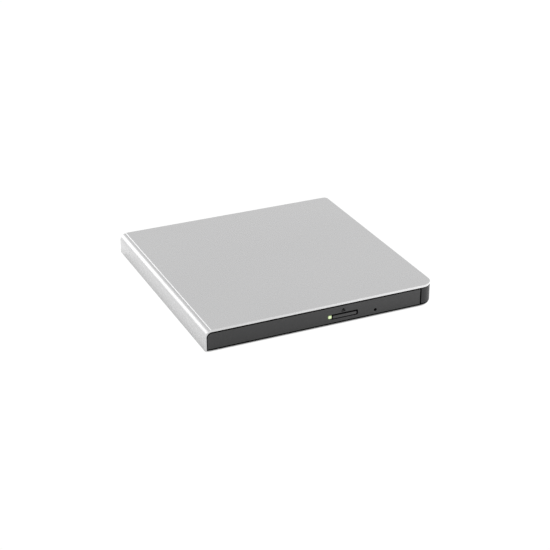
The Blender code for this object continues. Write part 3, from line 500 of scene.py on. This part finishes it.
def board():
    """Green solder mask over copper tracks, with plated pads."""
    m = Look("solder_mask", (0.02, 0.13, 0.06), 0.36)
    patch = m.node("ShaderNodeTexVoronoi", feature="F1", distance="CHEBYCHEV")
    patch.inputs["Scale"].default_value = 95
    m.link(m.coord, patch.inputs["Vector"])
    pick_way = m.node("ShaderNodeSeparateColor")
    m.link(patch.outputs["Color"], pick_way.inputs["Color"])

    def bundle(value, pitch):
        saw = m.math("FRACT", m.math("MULTIPLY", value, 1 / (pitch * MM)), 0.0)
        return m.span(m.math("ABSOLUTE", m.math("SUBTRACT", saw, 0.5), 0.0), 0.14, 0.2, 1.0, 0.0)

    along, across = bundle(m.axis("Y"), 0.62), bundle(m.axis("X"), 0.74)
    slant = bundle(m.math("ADD", m.axis("X"), m.axis("Y")), 0.95)
    way = pick_way.outputs["Red"]
    line = m.math("MULTIPLY", along, m.span(way, 0.3, 0.301, 1, 0))
    line = m.math("ADD", line, m.math("MULTIPLY", across, m.math("MULTIPLY", m.span(way, 0.36, 0.361, 0, 1), m.span(way, 0.66, 0.661, 1, 0))))
    line = m.math("ADD", line, m.math("MULTIPLY", slant, m.math("MULTIPLY", m.span(way, 0.66, 0.661, 0, 1), m.span(way, 0.8, 0.801, 1, 0))))
    vias = m.span(m.cells(520, out="Distance"), 0.16, 0.14, 0, 1)
    vias = m.math("MULTIPLY", vias, m.span(m.noise(60, 2), 0.5, 0.52, 0, 1))
    tone = m.mix(line, (0.014, 0.105, 0.045), (0.03, 0.21, 0.09))
    m.put("Base Color", m.mix(vias, tone, (0.75, 0.6, 0.3)))
    m.put("Metallic", m.math("MULTIPLY", vias, 1.0))
    m.put("Roughness", m.span(m.noise(300, 3), 0.3, 0.7, 0.28, 0.42))
    m.bump(m.math("ADD", line, vias), 0.35, 0.03)
    return m.mat


def moulded_black(name="chip_body", colour=(0.018, 0.018, 0.02), rough=0.55, gloss=0.5):
    m = Look(name, colour, rough)
    grit = m.noise(3800, 3, 0.7)
    m.put("Base Color", m.mix(m.span(grit, 0.4, 0.75, 0, 0.6), colour, tuple(c * 2.4 for c in colour)))
    m.put("Roughness", m.span(grit, 0.3, 0.7, rough - 0.1, rough + 0.1))
    m.bump(grit, 0.3, 0.015)
    m.bsdf.inputs["Specular IOR Level"].default_value = gloss
    return m.mat


def windings(name="copper_windings", axis="Z"):
    """Enamelled copper wire laid turn by turn."""
    m = Look(name, (0.6, 0.26, 0.1), 0.28, 0.9)
    wave = m.node("ShaderNodeTexWave", wave_type="BANDS", bands_direction=axis)
    wave.inputs["Scale"].default_value = 1100
    wave.inputs["Distortion"].default_value = 0.6
    wave.inputs["Detail"].default_value = 1.0
    m.link(m.coord, wave.inputs["Vector"])
    m.put("Base Color", m.mix(wave.outputs["Fac"], (0.3, 0.1, 0.035), (0.75, 0.34, 0.14)))
    m.put("Roughness", m.span(m.noise(500, 2), 0.3, 0.7, 0.22, 0.36))
    m.bump(wave.outputs["Fac"], 0.6, 0.06)
    return m.mat


def polyimide():
    """Amber film over parallel copper conductors."""
    m = Look("polyimide_film", (0.5, 0.22, 0.05), 0.26)
    wave = m.node("ShaderNodeTexWave", wave_type="BANDS", bands_direction="X", wave_profile="SIN")
    wave.inputs["Scale"].default_value = 320
    m.link(m.coord, wave.inputs["Vector"])
    line = m.span(wave.outputs["Fac"], 0.45, 0.6, 0, 1)
    m.put("Base Color", m.mix(line, (0.28, 0.1, 0.02), (0.72, 0.33, 0.1)))
    m.put("Metallic", m.math("MULTIPLY", line, 0.5))
    m.put("Roughness", m.span(m.noise(240, 3), 0.3, 0.7, 0.2, 0.34))
    m.bump(line, 0.25, 0.02)
    m.bsdf.inputs["Coat Weight"].default_value = 0.5
    m.bsdf.inputs["Coat Roughness"].default_value = 0.12
    return m.mat


def paper():
    m = Look("label_paper", (0.78, 0.78, 0.76), 0.6)
    fibre = m.noise(1.0, 4, 0.7, m.stretch(900, 2600, 900))
    m.put("Base Color", m.mix(m.span(fibre, 0.35, 0.7, 0, 1), (0.74, 0.74, 0.72), (0.82, 0.82, 0.8)))
    m.put("Roughness", m.span(fibre, 0.3, 0.7, 0.5, 0.7))
    m.bump(fibre, 0.2, 0.02)
    return m.mat


def acetal():
    m = Look("white_acetal", (0.74, 0.74, 0.7), 0.42)
    m.put("Base Color", m.mix(m.span(m.noise(160, 3), 0.35, 0.7, 0, 1), (0.7, 0.7, 0.655), (0.77, 0.77, 0.74)))
    m.put("Roughness", m.span(m.noise(900, 3), 0.3, 0.7, 0.36, 0.5))
    m.bump(m.noise(1400, 2), 0.12, 0.02)
    m.bsdf.inputs["Subsurface Weight"].default_value = 0.15
    m.bsdf.inputs["Subsurface Radius"].default_value = (0.001, 0.0009, 0.0008)
    return m.mat


def casting():
    m = Look("dark_casting", (0.12, 0.12, 0.125), 0.5, 0.75)
    skin = m.noise(1500, 5, 0.7)
    wear = m.math("MULTIPLY", m.edges(0.2), m.span(m.noise(900, 3), 0.4, 0.7, 0.1, 0.7))
    tone = m.mix(m.span(skin, 0.35, 0.7, 0, 1), (0.095, 0.095, 0.1), (0.15, 0.15, 0.155))
    m.put("Base Color", m.mix(wear, tone, (0.5, 0.5, 0.51)))
    m.put("Roughness", m.span(skin, 0.3, 0.7, 0.42, 0.6))
    m.bump(skin, 0.45, 0.03)
    return m.mat


def lens_glass():
    m = Look("coated_lens", (0.5, 0.55, 0.95), 0.03)
    facing = m.node("ShaderNodeLayerWeight")
    facing.inputs["Blend"].default_value = 0.35
    m.put("Base Color", m.mix(facing.outputs["Facing"], (0.25, 0.3, 0.85), (0.85, 0.75, 1.0)))
    m.put("Roughness", m.span(m.noise(900, 2), 0.3, 0.7, 0.02, 0.06))
    m.bsdf.inputs["Transmission Weight"].default_value = 0.7
    m.bsdf.inputs["Coat Weight"].default_value = 0.6
    m.bsdf.inputs["Coat Tint"].default_value = (0.6, 0.7, 1.0, 1)
    return m.mat


def light_window():
    """Tinted light pipe, lit from behind: brightest in the middle."""
    m = Look("light_window", (0.35, 0.45, 0.2), 0.22)
    lo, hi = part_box("led_lens")
    centre = (lo + hi) / 2 + Vector((0, 0, 0))
    gap = m.node("ShaderNodeVectorMath", operation="SUBTRACT")
    gap.inputs[1].default_value = centre
    m.link(m.coord, gap.inputs[0])
    flat = m.node("ShaderNodeVectorMath", operation="MULTIPLY")
    flat.inputs[1].default_value = (1, 0, 1)
    m.link(gap.outputs["Vector"], flat.inputs[0])
    length = m.node("ShaderNodeVectorMath", operation="LENGTH")
    m.link(flat.outputs["Vector"], length.inputs[0])
    near = m.span(length.outputs["Value"], 0.0007, 0.0014, 1, 0)
    grain = m.span(m.noise(1500, 2), 0.3, 0.7, 0.92, 1.05)
    m.put("Emission Color", m.mix(near, (0.16, 0.27, 0.05), (0.72, 0.82, 0.55)))
    m.put("Emission Strength", m.math("MULTIPLY", m.span(near, 0, 1, 0.4, 0.74), grain))
    m.put("Roughness", m.span(m.noise(600, 2), 0.3, 0.7, 0.15, 0.28))
    m.bump(m.noise(900, 2), 0.1, 0.02)
    return m.mat


SILVER = silver_paint()
SHELL = black_plastic("case_plastic", (0.02, 0.02, 0.0213), 0.46, foot=True, gloss=0.28)
BEZEL = black_plastic("bezel_plastic", (0.0195, 0.0195, 0.0202), 0.4, grain=3200, depth=0.22, face=True, gloss=0.46)
BUTTON = black_plastic("button_plastic", (0.028, 0.028, 0.029), 0.33, grain=3600, depth=0.14, reach=2.2, face=True)
TRAY = black_plastic("tray_plastic", (0.03, 0.03, 0.032), 0.5, grain=1900, depth=0.4)
MARK = moulded_black("mark_paint", (0.002, 0.002, 0.002), 0.7, 0.05)
SHEET = sheet_steel("zinc_sheet")
SHEET_X = sheet_steel("zinc_sheet_cross", turn=math.pi / 2)
BRIGHT = sheet_steel("bright_plate", (0.5, 0.5, 0.51), 0.24)
SHAFT = ground_steel()
RUBBER = rubber()
PCB = board()
CHIP = moulded_black()
SOCKET = moulded_black("connector_plastic", (0.02, 0.02, 0.022), 0.45)
COPPER = windings()
COPPER_Y = windings("coil_windings", "Y")
FILM = polyimide()
PAPER = paper()
ACETAL = acetal()
CAST = casting()
LENS = lens_glass()
LIT = light_window()

# ------------------------------------------------------------------ outer shell, rebuilt with fine curves
XL, XR, YF, YB = -72.0, 72.0, -71.0, 71.0
TOP, UNDER, LOW = 14.0, 13.0, 1.3
SPINE_R, COVER_T, GAP = 4.2, 1.0, 0.3
CX, CZ = XL + SPINE_R, 13.85 - SPINE_R
CORNER_R, BACK_R = 7.4, 2.4
RIM_UNDER, RIM_W, RIM_R = 12.6, 1.3, 3.0
RIM_X, RIM_Z = XL + COVER_T + RIM_R, RIM_UNDER - RIM_R
PLINTH_Z, PLINTH_IN, SEAM_X, WALL_TOP = 2.3, 0.45, 63.4, 12.15


def plan(left, front, right, back, rf, rb, seg=20):
    return rounded([(left, front, 0), (right, front, rf), (right, back, rb), (left, back, 0)], seg)


def arc(cx, cz, r, a0, a1, n):
    return [(cx + r * math.cos(math.radians(a0 + (a1 - a0) * k / n)), cz + r * math.sin(math.radians(a0 + (a1 - a0) * k / n))) for k in range(n + 1)]


# flat panel, a soft slope down, a narrow ledge, then the round spine and the side wall
outer = (
    [(XR + 3, RIM_UNDER), (XR + 3, TOP), (-67.92, TOP), (-68.0, 13.985), (-68.06, 13.95), (-68.42, 13.62), (-68.49, 13.575), (-68.58, 13.56), (-68.66, 13.58), (-68.74, 13.63)]
    + arc(CX, CZ, SPINE_R, 104.5, 180, 28)
    + [(XL, LOW + 0.12), (XL + 0.04, LOW + 0.03), (XL + 0.13, LOW), (XL + COVER_T - 0.15, LOW), (XL + COVER_T, LOW + 0.15)]
    + arc(RIM_X, RIM_Z, RIM_R, 180, 90, 16)
)
cover = section("cover_shell", outer, YF - 3, YB + 3)
combine(cover, "INTERSECT", prism("t", plan(XL - 5, YF, XR, YB, CORNER_R, BACK_R, 24), -2, 20))
hollow = section("t", [(XR + 3, 6.0), (XR + 3, UNDER), (CX + 0.6, UNDER)] + arc(CX, CZ, SPINE_R - COVER_T, 90, 180, 12) + [(XL + COVER_T, 6.0)], YF - 3, YB + 3)
combine(hollow, "INTERSECT", prism("t", plan(XL - 5, YF + RIM_W, XR - RIM_W, YB - RIM_W, CORNER_R - RIM_W, BACK_R - RIM_W, 16), -2, 20))
cut(cover, hollow)
bosses = [prism("t", disc(x, y, 1.9, 32), 4.3, UNDER + 0.4) for x, y in ((-66.0, 65.0), (66.6, 64.6))]
join(cover, *bosses)
cut(cover, *[prism("t", disc(x, y, 0.95, 24), 4.0, 11.0) for x, y in ((-66.0, 65.0), (66.6, 64.6))])
# round the panel's edges fully and all other edges by a quarter of the width
soften(cover, 0.3, 3, 30, lambda p: 1.0 if p.z > 13.4 and p.x > -68.9 else 0.25)
stand(cover, "case", SILVER, "top_cover")

case = prism("case_shell", plan(XL + COVER_T + GAP, YF, XR, YB, CORNER_R, BACK_R, 24), PLINTH_Z, WALL_TOP)
join(
    case,
    prism(
        "t",
        plan(XL + COVER_T + GAP, YF + PLINTH_IN, XR - PLINTH_IN, YB - PLINTH_IN, CORNER_R - PLINTH_IN, BACK_R - PLINTH_IN, 24),
        LOW, PLINTH_Z + 0.3,
    ),
)
follow = [(XL - 5, RIM_Z)] + arc(RIM_X, RIM_Z, RIM_R - GAP, 180, 90, 12) + [(RIM_X, 30), (XL - 5, 30)]
USB_X, USB_Z = 44.0, 6.9
FEET = ("foot_front_left", "foot_front_right", "foot_rear_left", "foot_rear_right")
FOOT_AT = {n: ((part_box(n)[0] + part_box(n)[1]) / 2) / MM for n in FEET}
cut(
    case,
    prism(
        "t1",
        rounded(
            [(-90, -90, 0), (SEAM_X, -90, 0), (SEAM_X, -64.8, 0), (SEAM_X + 1.4, -64.8, 0), (SEAM_X + 1.4, -69.6, 0)]
            + [(70.6, -69.6, CORNER_R - 2.6), (70.6, 69.6, 1.2), (-90, 69.6, 0)],
            16,
        ),
        2.4, 30,
    ),
    block("t2", -90, SEAM_X, -90, -67.7, 1.75, 33),
    section("t3", follow, YB - 8, YB + 8),
    prism("t4", rounded([(-41, -26, 2), (41, -26, 2), (41, 24, 2), (-41, 24, 2)], 8), 0, 1.6),
    *[prism("t", disc(FOOT_AT[n].x, FOOT_AT[n].y, 5.2, 48), 0, 1.65) for n in FEET],
)
# rounded opening for the socket
usb_cut = section("t", rounded([(USB_X - 4.3, USB_Z - 2.4, 0.6), (USB_X + 4.3, USB_Z - 2.4, 0.6), (USB_X + 4.3, USB_Z + 2.4, 0.6), (USB_X - 4.3, USB_Z + 2.4, 0.6)], 6), YB - 4, YB + 4)
cut(case, usb_cut)
join(
    case,
    *[prism("t", disc(x, y, 2.3, 32), 2.0, 4.0) for x, y in ((-66.0, 65.0), (66.6, 64.6))],
    *[prism("t", disc(x, y, 1.7, 24), 2.1, 3.3) for x, y in ((-46.0, 65.0), (54.0, 66.4))],
)
join(case, *[prism("t", disc(x, y, 0.8, 20), 3.0, 5.0) for x, y in ((-46.0, 65.0), (54.0, 66.4))])
cut(
    case,
    *[prism("t", disc(x, y, 0.95, 24), 0, 6) for x, y in ((-66.0, 65.0), (66.6, 64.6))],
)
cut(case, *[prism("t", disc(x, y, 1.75, 32), 0, 2.15) for x, y in ((-66.0, 65.0), (66.6, 64.6))])
soften(case, 0.15, 2, 30)
stand(case, "case", SHELL, "bottom_case")

# ------------------------------------------------------------------ front of the tray
bezel = section(
    "bezel_front",
    rounded([(-70.5, 2.3, 0.5), (62.6, 2.3, 0.3), (62.6, 11.75, 0.2), (-70.5, 11.75, RIM_R - 0.5)], 14),
    YF, -68.4,
)
cut(
    bezel,
    block("t1", -66.5, 60.5, YF + 1.6, -60, 8.6, 11.2),
    block("t2", -66.5, -2.0, YF + 1.6, -60.1, 3.0, 7.6),
    # the button's slot: its upper lip is only as deep as the button's plate
    section("t3", rounded([(5.3, 4.25, 0), (21.95, 4.25, 0.45), (21.95, 7.5, 0.45), (5.3, 7.5, 0)], 5), YF - 3, -69.9),
    block("t3", 5.32, 21.6, -70.4, -60, 4.3, 6.9),
    section("t3", rounded([(2.85, 4.75, 0.3), (5.5, 4.75, 0), (5.5, 7.15, 0), (2.85, 7.15, 0.3)], 5), YF - 3.01, -60.1),
    barrel("t4", 33.2, YF - 3, 4.85, 0.92, 8, 40),
)
MARK_X, MARK_Z, MARK_H = 12.6, 9.0, 1.3
cut(
    bezel,
    section("t5", rounded([(MARK_X - MARK_H, MARK_Z, 0.08), (MARK_X + MARK_H, MARK_Z, 0.08), (MARK_X, MARK_Z + 1.3, 0.08)], 3), YF - 1, YF + 0.3),
    block("t6", MARK_X - MARK_H, MARK_X + MARK_H, YF - 1, YF + 0.3, MARK_Z - 0.9, MARK_Z - 0.32),
)
soften(bezel, 0.12, 2, 30)
stand(bezel, "tray", BEZEL, "tray_bezel")

mark = section("eject_mark", rounded([(MARK_X - 1.26, MARK_Z + 0.02, 0.06), (MARK_X + 1.26, MARK_Z + 0.02, 0.06), (MARK_X, MARK_Z + 1.27, 0.06)], 3), YF + 0.16, YF + 0.4)
join(mark, block("t", MARK_X - 1.28, MARK_X + 1.28, YF + 0.16, YF + 0.4, MARK_Z - 0.88, MARK_Z - 0.34), block("t", MARK_X - 0.3, MARK_X + 0.3, YF + 0.31, YF + 0.4, MARK_Z - 0.5, MARK_Z + 0.3))
soften(mark, 0.02, 1)
stand(mark, "tray", MARK, slot="black_bezel")

# the button's face is slightly crowned, and thins towards its ends
bm = bmesh.new()
NX, NZ = 36, 10
bx0, bx1, bz0, bz1 = 5.9, 21.15, 4.6, 6.6
front = []
for i in range(NX + 1):
    u = i / NX
    x = bx0 + (bx1 - bx0) * u
    col = []
    for k in range(NZ + 1):
        v = k / NZ
        z = bz0 + (bz1 - bz0) * v
        edge = min(u * (bx1 - bx0), (1 - u) * (bx1 - bx0), v * (bz1 - bz0), (1 - v) * (bz1 - bz0))
        drop = 0.16 * max(0.0, 1 - edge / 0.28) ** 2
        crown = 0.1 * (1 - (2 * v - 1) ** 2)
        col.append(bm.verts.new((x, YF + 0.12 - crown + drop, z)))
    front.append(col)
for i in range(NX):
    for k in range(NZ):
        bm.faces.new((front[i][k], front[i + 1][k], front[i + 1][k + 1], front[i][k + 1]))
rim = [front[i][0] for i in range(NX)] + [front[NX][k] for k in range(NZ)] + [front[i][NZ] for i in range(NX, 0, -1)] + [front[0][k] for k in range(NZ, 0, -1)]
back = [bm.verts.new((v.co.x, -70.35, v.co.z)) for v in rim]
for a in range(len(rim)):
    b = (a + 1) % len(rim)
    bm.faces.new((rim[a], back[a], back[b], rim[b]))
bm.faces.new(back)
button = raw("eject_button_cap", bm)
join(button, block("t", 6.5, 20.7, -70.5, -69.0, 4.8, 6.1), block("t", 12.2, 15.8, -69.4, -65.4, 5.95, 6.6))
soften(button, 0.0, 1, 40)
stand(button, "button", BUTTON, "eject_button")
window = block("status_window", 3.1, 5.25, YF + 0.02, -68.8, 5.0, 6.9)
soften(window, 0.22, 4, 30)
join(window, block("t", 3.7, 5.1, -69.5, -66.4, 5.95, 6.6))
soften(window, 0.0, 1, 40)
stand(window, "tray", LIT, "led_lens")

# ------------------------------------------------------------------ every other node: finely edged, with its own look
for node in ("foot_front_left", "foot_front_right", "foot_rear_left", "foot_rear_right"):
    c = FOOT_AT[node]
    foot = turned(node + "_pad", [(0, 0.02), (3.1, 0.0), (3.25, 0.12), (3.4, 0.12), (3.55, 0.0), (4.2, 0.0), (4.55, 0.07), (4.78, 0.22), (4.88, 0.5), (4.9, 1.35), (0, 1.35)], 72, (c.x, c.y, 0))
    soften(foot, 0.0, 1, 60)
    stand(foot, "case", RUBBER, node)

LOOKS = {
    "case_screw_left": (BRIGHT, 0.06), "case_screw_right": (BRIGHT, 0.06), "rating_label": (PAPER, 0.02),
    "bridge_board": (PCB, 0.05), "bridge_chip": (CHIP, 0.08), "usb_shell": (BRIGHT, 0.06), "usb_insert": (SOCKET, 0.06),
    "board_connector": (SOCKET, 0.1), "chassis_base": (SHEET, 0.08), "chassis_lid": (SHEET, 0.08),
    "lid_screw_front": (BRIGHT, 0.06), "lid_screw_rear": (BRIGHT, 0.06), "rail_guide_left": (SHEET, 0.06), "rail_guide_right": (SHEET, 0.06),
    "connector_board": (PCB, 0.05), "drive_connector": (SOCKET, 0.1),
    "slide_rail_left": (BRIGHT, 0.06), "slide_rail_right": (BRIGHT, 0.06),
    "tray": (TRAY, 0.2), "main_board": (PCB, 0.05), "main_chip": (CHIP, 0.08), "driver_chip": (CHIP, 0.08),
    "tact_switch": (BRIGHT, 0.08), "ribbon_socket": (ACETAL, 0.08), "tray_bottom_plate": (SHEET, 0.05),
    "traverse_base": (SHEET_X, 0.07), "damper_1": (RUBBER, 0.1), "damper_2": (RUBBER, 0.1), "damper_3": (RUBBER, 0.1),
    "guide_shaft_main": (SHAFT, 0.05), "guide_shaft_sub": (SHAFT, 0.05), "feed_motor": (BRIGHT, 0.12),
    "motor_base": (SHEET, 0.06), "motor_stator": (COPPER, 0.08), "traverse_cover": (TRAY, 0.12), "solenoid": (COPPER_Y, 0.15),
    "spindle_rotor": (BRIGHT, 0.1), "turntable_ring": (RUBBER, 0.06),
    "hub_claw_1": (ACETAL, 0.08), "hub_claw_2": (ACETAL, 0.08), "hub_claw_3": (ACETAL, 0.08),
    "optical_pickup": (CAST, 0.12), "pickup_shield": (TRAY, 0.05), "lens_holder": (SOCKET, 0.1), "objective_lens": (LENS, 0.0),
    "lead_screw": (SHAFT, 0.03), "latch_lever": (ACETAL, 0.1), "solenoid_plunger": (SHAFT, 0.05), "eject_pusher": (ACETAL, 0.08),
}
for node, (look, width) in LOOKS.items():
    polish(node, look, width)

# ------------------------------------------------------------------ the two pieces that change shape as the tray opens
def weights(obj, function):
    """How far each point follows the second body, by its rest place in millimetres."""
    values = obj.data.attributes["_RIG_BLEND"].data
    for v, w in zip(obj.data.vertices, values):
        w.value = max(0.0, min(1.0, function(v.co / MM)))


lo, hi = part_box("flex_cable")
x0, x1 = lo.x / MM, hi.x / MM
path = [(50.0 - 92.5 * k / 40, 3.34) for k in range(40)]
path += [(-42.5 - 0.5 * math.sin(math.pi * k / 12), 3.84 - 0.5 * math.cos(math.pi * k / 12)) for k in range(13)]
path += [(-42.5 + 62.5 * k / 60, 4.34) for k in range(1, 61)]
bm = bmesh.new()
rows = []
for i, (y, z) in enumerate(path):
    a = Vector(path[max(i - 1, 0)])
    b = Vector(path[min(i + 1, len(path) - 1)])
    d = (b - a).normalized()
    n = Vector((-d.y, d.x)) * 0.055
    rows.append([bm.verts.new((x, y + s * n.x, z + s * n.y)) for s in (1, -1) for x in ((x0, x0 + 0.4, x1 - 0.4, x1) if s > 0 else (x1, x1 - 0.4, x0 + 0.4, x0))])
for a, b in zip(rows, rows[1:]):
    for i in range(8):
        j = (i + 1) % 8
        bm.faces.new((a[i], a[j], b[j], b[i]))
bm.faces.new(rows[0])
bm.faces.new(rows[-1])
ribbon = raw("ribbon_cable", bm)
ribbon.data.shade_smooth()
ribbon.data.set_sharp_from_angle(angle=math.radians(40))
ribbon.data.materials.append(FILM)
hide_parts("flex_cable")
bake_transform(ribbon, "case", "tray", start=(0, 0, 0.0034), end=(0, 0, 0.0043))
weights(ribbon, lambda p: (p.y + 42.5) / 62.5 if p.z > 3.84 else 0.0)

COIL_X, COIL_Z = -40.0, 5.6
coil_r, wire_r, turns, per_turn, around = 1.05, 0.13, 9, 36, 10
bm = bmesh.new()
rings = []
for i in range(turns * per_turn + 1):
    t = i / per_turn
    a = 2 * math.pi * t
    # the turns are evenly pitched from end to end
    f = t / turns
    y = 32.15 + 8.7 * (f + 0.035 * math.sin(2 * math.pi * f) * 0)
    centre = Vector((COIL_X + coil_r * math.cos(a), y, COIL_Z + coil_r * math.sin(a)))
    out, lean = Vector((math.cos(a), 0, math.sin(a))), Vector((0, 1, 0))
    rings.append([bm.verts.new(centre + wire_r * (out * math.cos(2 * math.pi * j / around) + lean * math.sin(2 * math.pi * j / around))) for j in range(around)])
for a, b in zip(rings, rings[1:]):
    for i in range(around):
        j = (i + 1) % around
        bm.faces.new((a[i], a[j], b[j], b[i]))
bm.faces.new(rings[0])
bm.faces.new(rings[-1])
spring = raw("pusher_spring", bm)
spring.data.shade_smooth()
spring.data.set_sharp_from_angle(angle=math.radians(50))
spring.data.materials.append(SHAFT)
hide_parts("eject_spring")
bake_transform(spring, "tray", "pusher", start=(0, 0.032, 0), end=(0, 0.041, 0))
weights(spring, lambda p: (p.y - 32.1) / 8.8)

# ------------------------------------------------------------------ studio
# the sweep is white to the camera, with a painted contact shadow; other rays see plain paint, and reflections also see
# a painted glow, dimmer near the drive and brighter towards +X
FLOOR_BOUNCE, FLOOR_REFLECTION_GLOW = 0.77, 0.46
floor_mesh = bpy.data.meshes.new("floor")
bm = bmesh.new()
bmesh.ops.create_grid(bm, x_segments=1, y_segments=1, size=6.0)
bm.to_mesh(floor_mesh)
bm.free()
floor = bpy.data.objects.new("floor", floor_mesh)
floor.location = (0, 0, -0.00005)
scene.collection.objects.link(floor)
m = Look("floor_with_painted_shadow", (0.82, 0.82, 0.82), 0.75)
m.tree.nodes.remove(m.bsdf)
path_info = m.node("ShaderNodeLightPath")
paint = m.node("ShaderNodeBsdfDiffuse")
paint.inputs["Roughness"].default_value = 0.3
grey = m.node("ShaderNodeCombineColor")
mottle = m.span(m.noise(5, 3), 0.3, 0.7, FLOOR_BOUNCE * 0.99, FLOOR_BOUNCE * 1.01)
for channel in ("Red", "Green", "Blue"):
    m.link(mottle, grey.inputs[channel])
m.link(grey.outputs["Color"], paint.inputs["Color"])
# painted light: a glow seen only in reflections, dimmer near the drive and brighter towards +X
glow = m.node("ShaderNodeEmission")
broad = m.node("ShaderNodeAmbientOcclusion", samples=8)
broad.inputs["Distance"].default_value = 0.03
m.link(m.math("MULTIPLY", m.math("MULTIPLY", m.math("MULTIPLY", path_info.outputs["Is Glossy Ray"], FLOOR_REFLECTION_GLOW), m.span(broad.outputs["AO"], 0.5, 0.95, 0.85, 1.25)), m.span(m.axis("X"), -0.11, 0.09, 0.73, 1.75)), glow.inputs["Strength"])
both = m.node("ShaderNodeAddShader")
m.link(paint.outputs["BSDF"], both.inputs[0])
m.link(glow.outputs["Emission"], both.inputs[1])
# painted contact shadow: the camera sees the floor white, darkened by ambient occlusion next to the drive
shade = m.node("ShaderNodeAmbientOcclusion", samples=32)
shade.inputs["Distance"].default_value = 0.008
seen = m.node("ShaderNodeEmission")
m.link(m.span(shade.outputs["AO"], 0.08, 0.26, 0.02, 1.02), seen.inputs["Strength"])
pick = m.node("ShaderNodeMixShader")
m.link(path_info.outputs["Is Camera Ray"], pick.inputs["Fac"])
m.link(both.outputs["Shader"], pick.inputs[1])
m.link(seen.outputs["Emission"], pick.inputs[2])
m.link(pick.outputs["Shader"], m.tree.nodes["Material Output"].inputs["Surface"])
floor_mesh.materials.append(m.mat)
floor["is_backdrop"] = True

world = bpy.data.worlds.new("studio")
scene.world = world
world.use_nodes = True
w = Look.__new__(Look)
w.tree = world.node_tree
w.coord = w.node("ShaderNodeTexCoord").outputs["Generated"]
# a soft glow low behind the left edge, on an even white sky: centre, then half-widths, in radians
sky_x, sky_y, sky_z = (w.axis(a) for a in "XYZ")
turn = w.math("ARCTAN2", sky_x, sky_y)
rise = w.math("ARCSINE", sky_z, 0.0)


def hump(value, centre, width):
    gap = w.math("DIVIDE", w.math("SUBTRACT", value, centre), width)
    return w.math("POWER", 2.71828, w.math("MULTIPLY", w.math("MULTIPLY", gap, gap), -1.0))


glow_sky = w.math("MULTIPLY", hump(turn, math.radians(-24), math.radians(9)), hump(rise, math.radians(14), math.radians(14)))
sky = world.node_tree.nodes["Background"]
sky.inputs["Color"].default_value = (1, 1, 1, 1)
w.link(w.math("ADD", 1.0, w.math("MULTIPLY", glow_sky, 2.7)), sky.inputs["Strength"])


def softbox(name, azimuth, elevation, distance, w, h, power):
    """Area light aimed at the drive.  Azimuth is measured from +Y towards +X."""
    data = bpy.data.lights.new(name, "AREA")
    data.shape, data.size, data.size_y, data.energy = "RECTANGLE", w, h, power
    obj = bpy.data.objects.new(name, data)
    a, e = math.radians(azimuth), math.radians(elevation)
    direction = Vector((math.sin(a) * math.cos(e), math.cos(a) * math.cos(e), math.sin(e)))
    obj.location = direction * distance
    obj.rotation_mode = "QUATERNION"
    obj.rotation_quaternion = direction.to_track_quat("Z", "Y")
    scene.collection.objects.link(obj)
    return obj


softbox("key_back_left", -30, 62, 1.5, 0.9, 0.7, 1.4)
softbox("fill_front", 145, 55, 0.9, 0.6, 0.6, 0.5)

# ------------------------------------------------------------------ camera
AZ, EL = math.radians(-24.5), math.radians(25.9)
back = Vector((math.sin(AZ) * math.cos(EL), -math.cos(AZ) * math.cos(EL), math.sin(EL)))
right = Vector((0, 0, 1)).cross(back).normalized()
up = back.cross(right)
camera_data = bpy.data.cameras.new("camera")
camera_data.sensor_width, camera_data.lens = 36.0, 90.33
camera_data.clip_start, camera_data.clip_end = 0.01, 50
camera = bpy.data.objects.new("camera", camera_data)
camera.location = Vector((0, 0, 0.0083)) + back * 0.8364 + right * 0.0021 - up * 0.0055
camera.rotation_mode = "QUATERNION"
camera.rotation_quaternion = back.to_track_quat("Z", "Y")
scene.collection.objects.link(camera)
scene.camera = camera

scene.view_settings.view_transform = "Standard"
scene.view_settings.look = "None"
scene.view_settings.exposure = 0.0
scene.view_settings.gamma = 1.0

lo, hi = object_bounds()
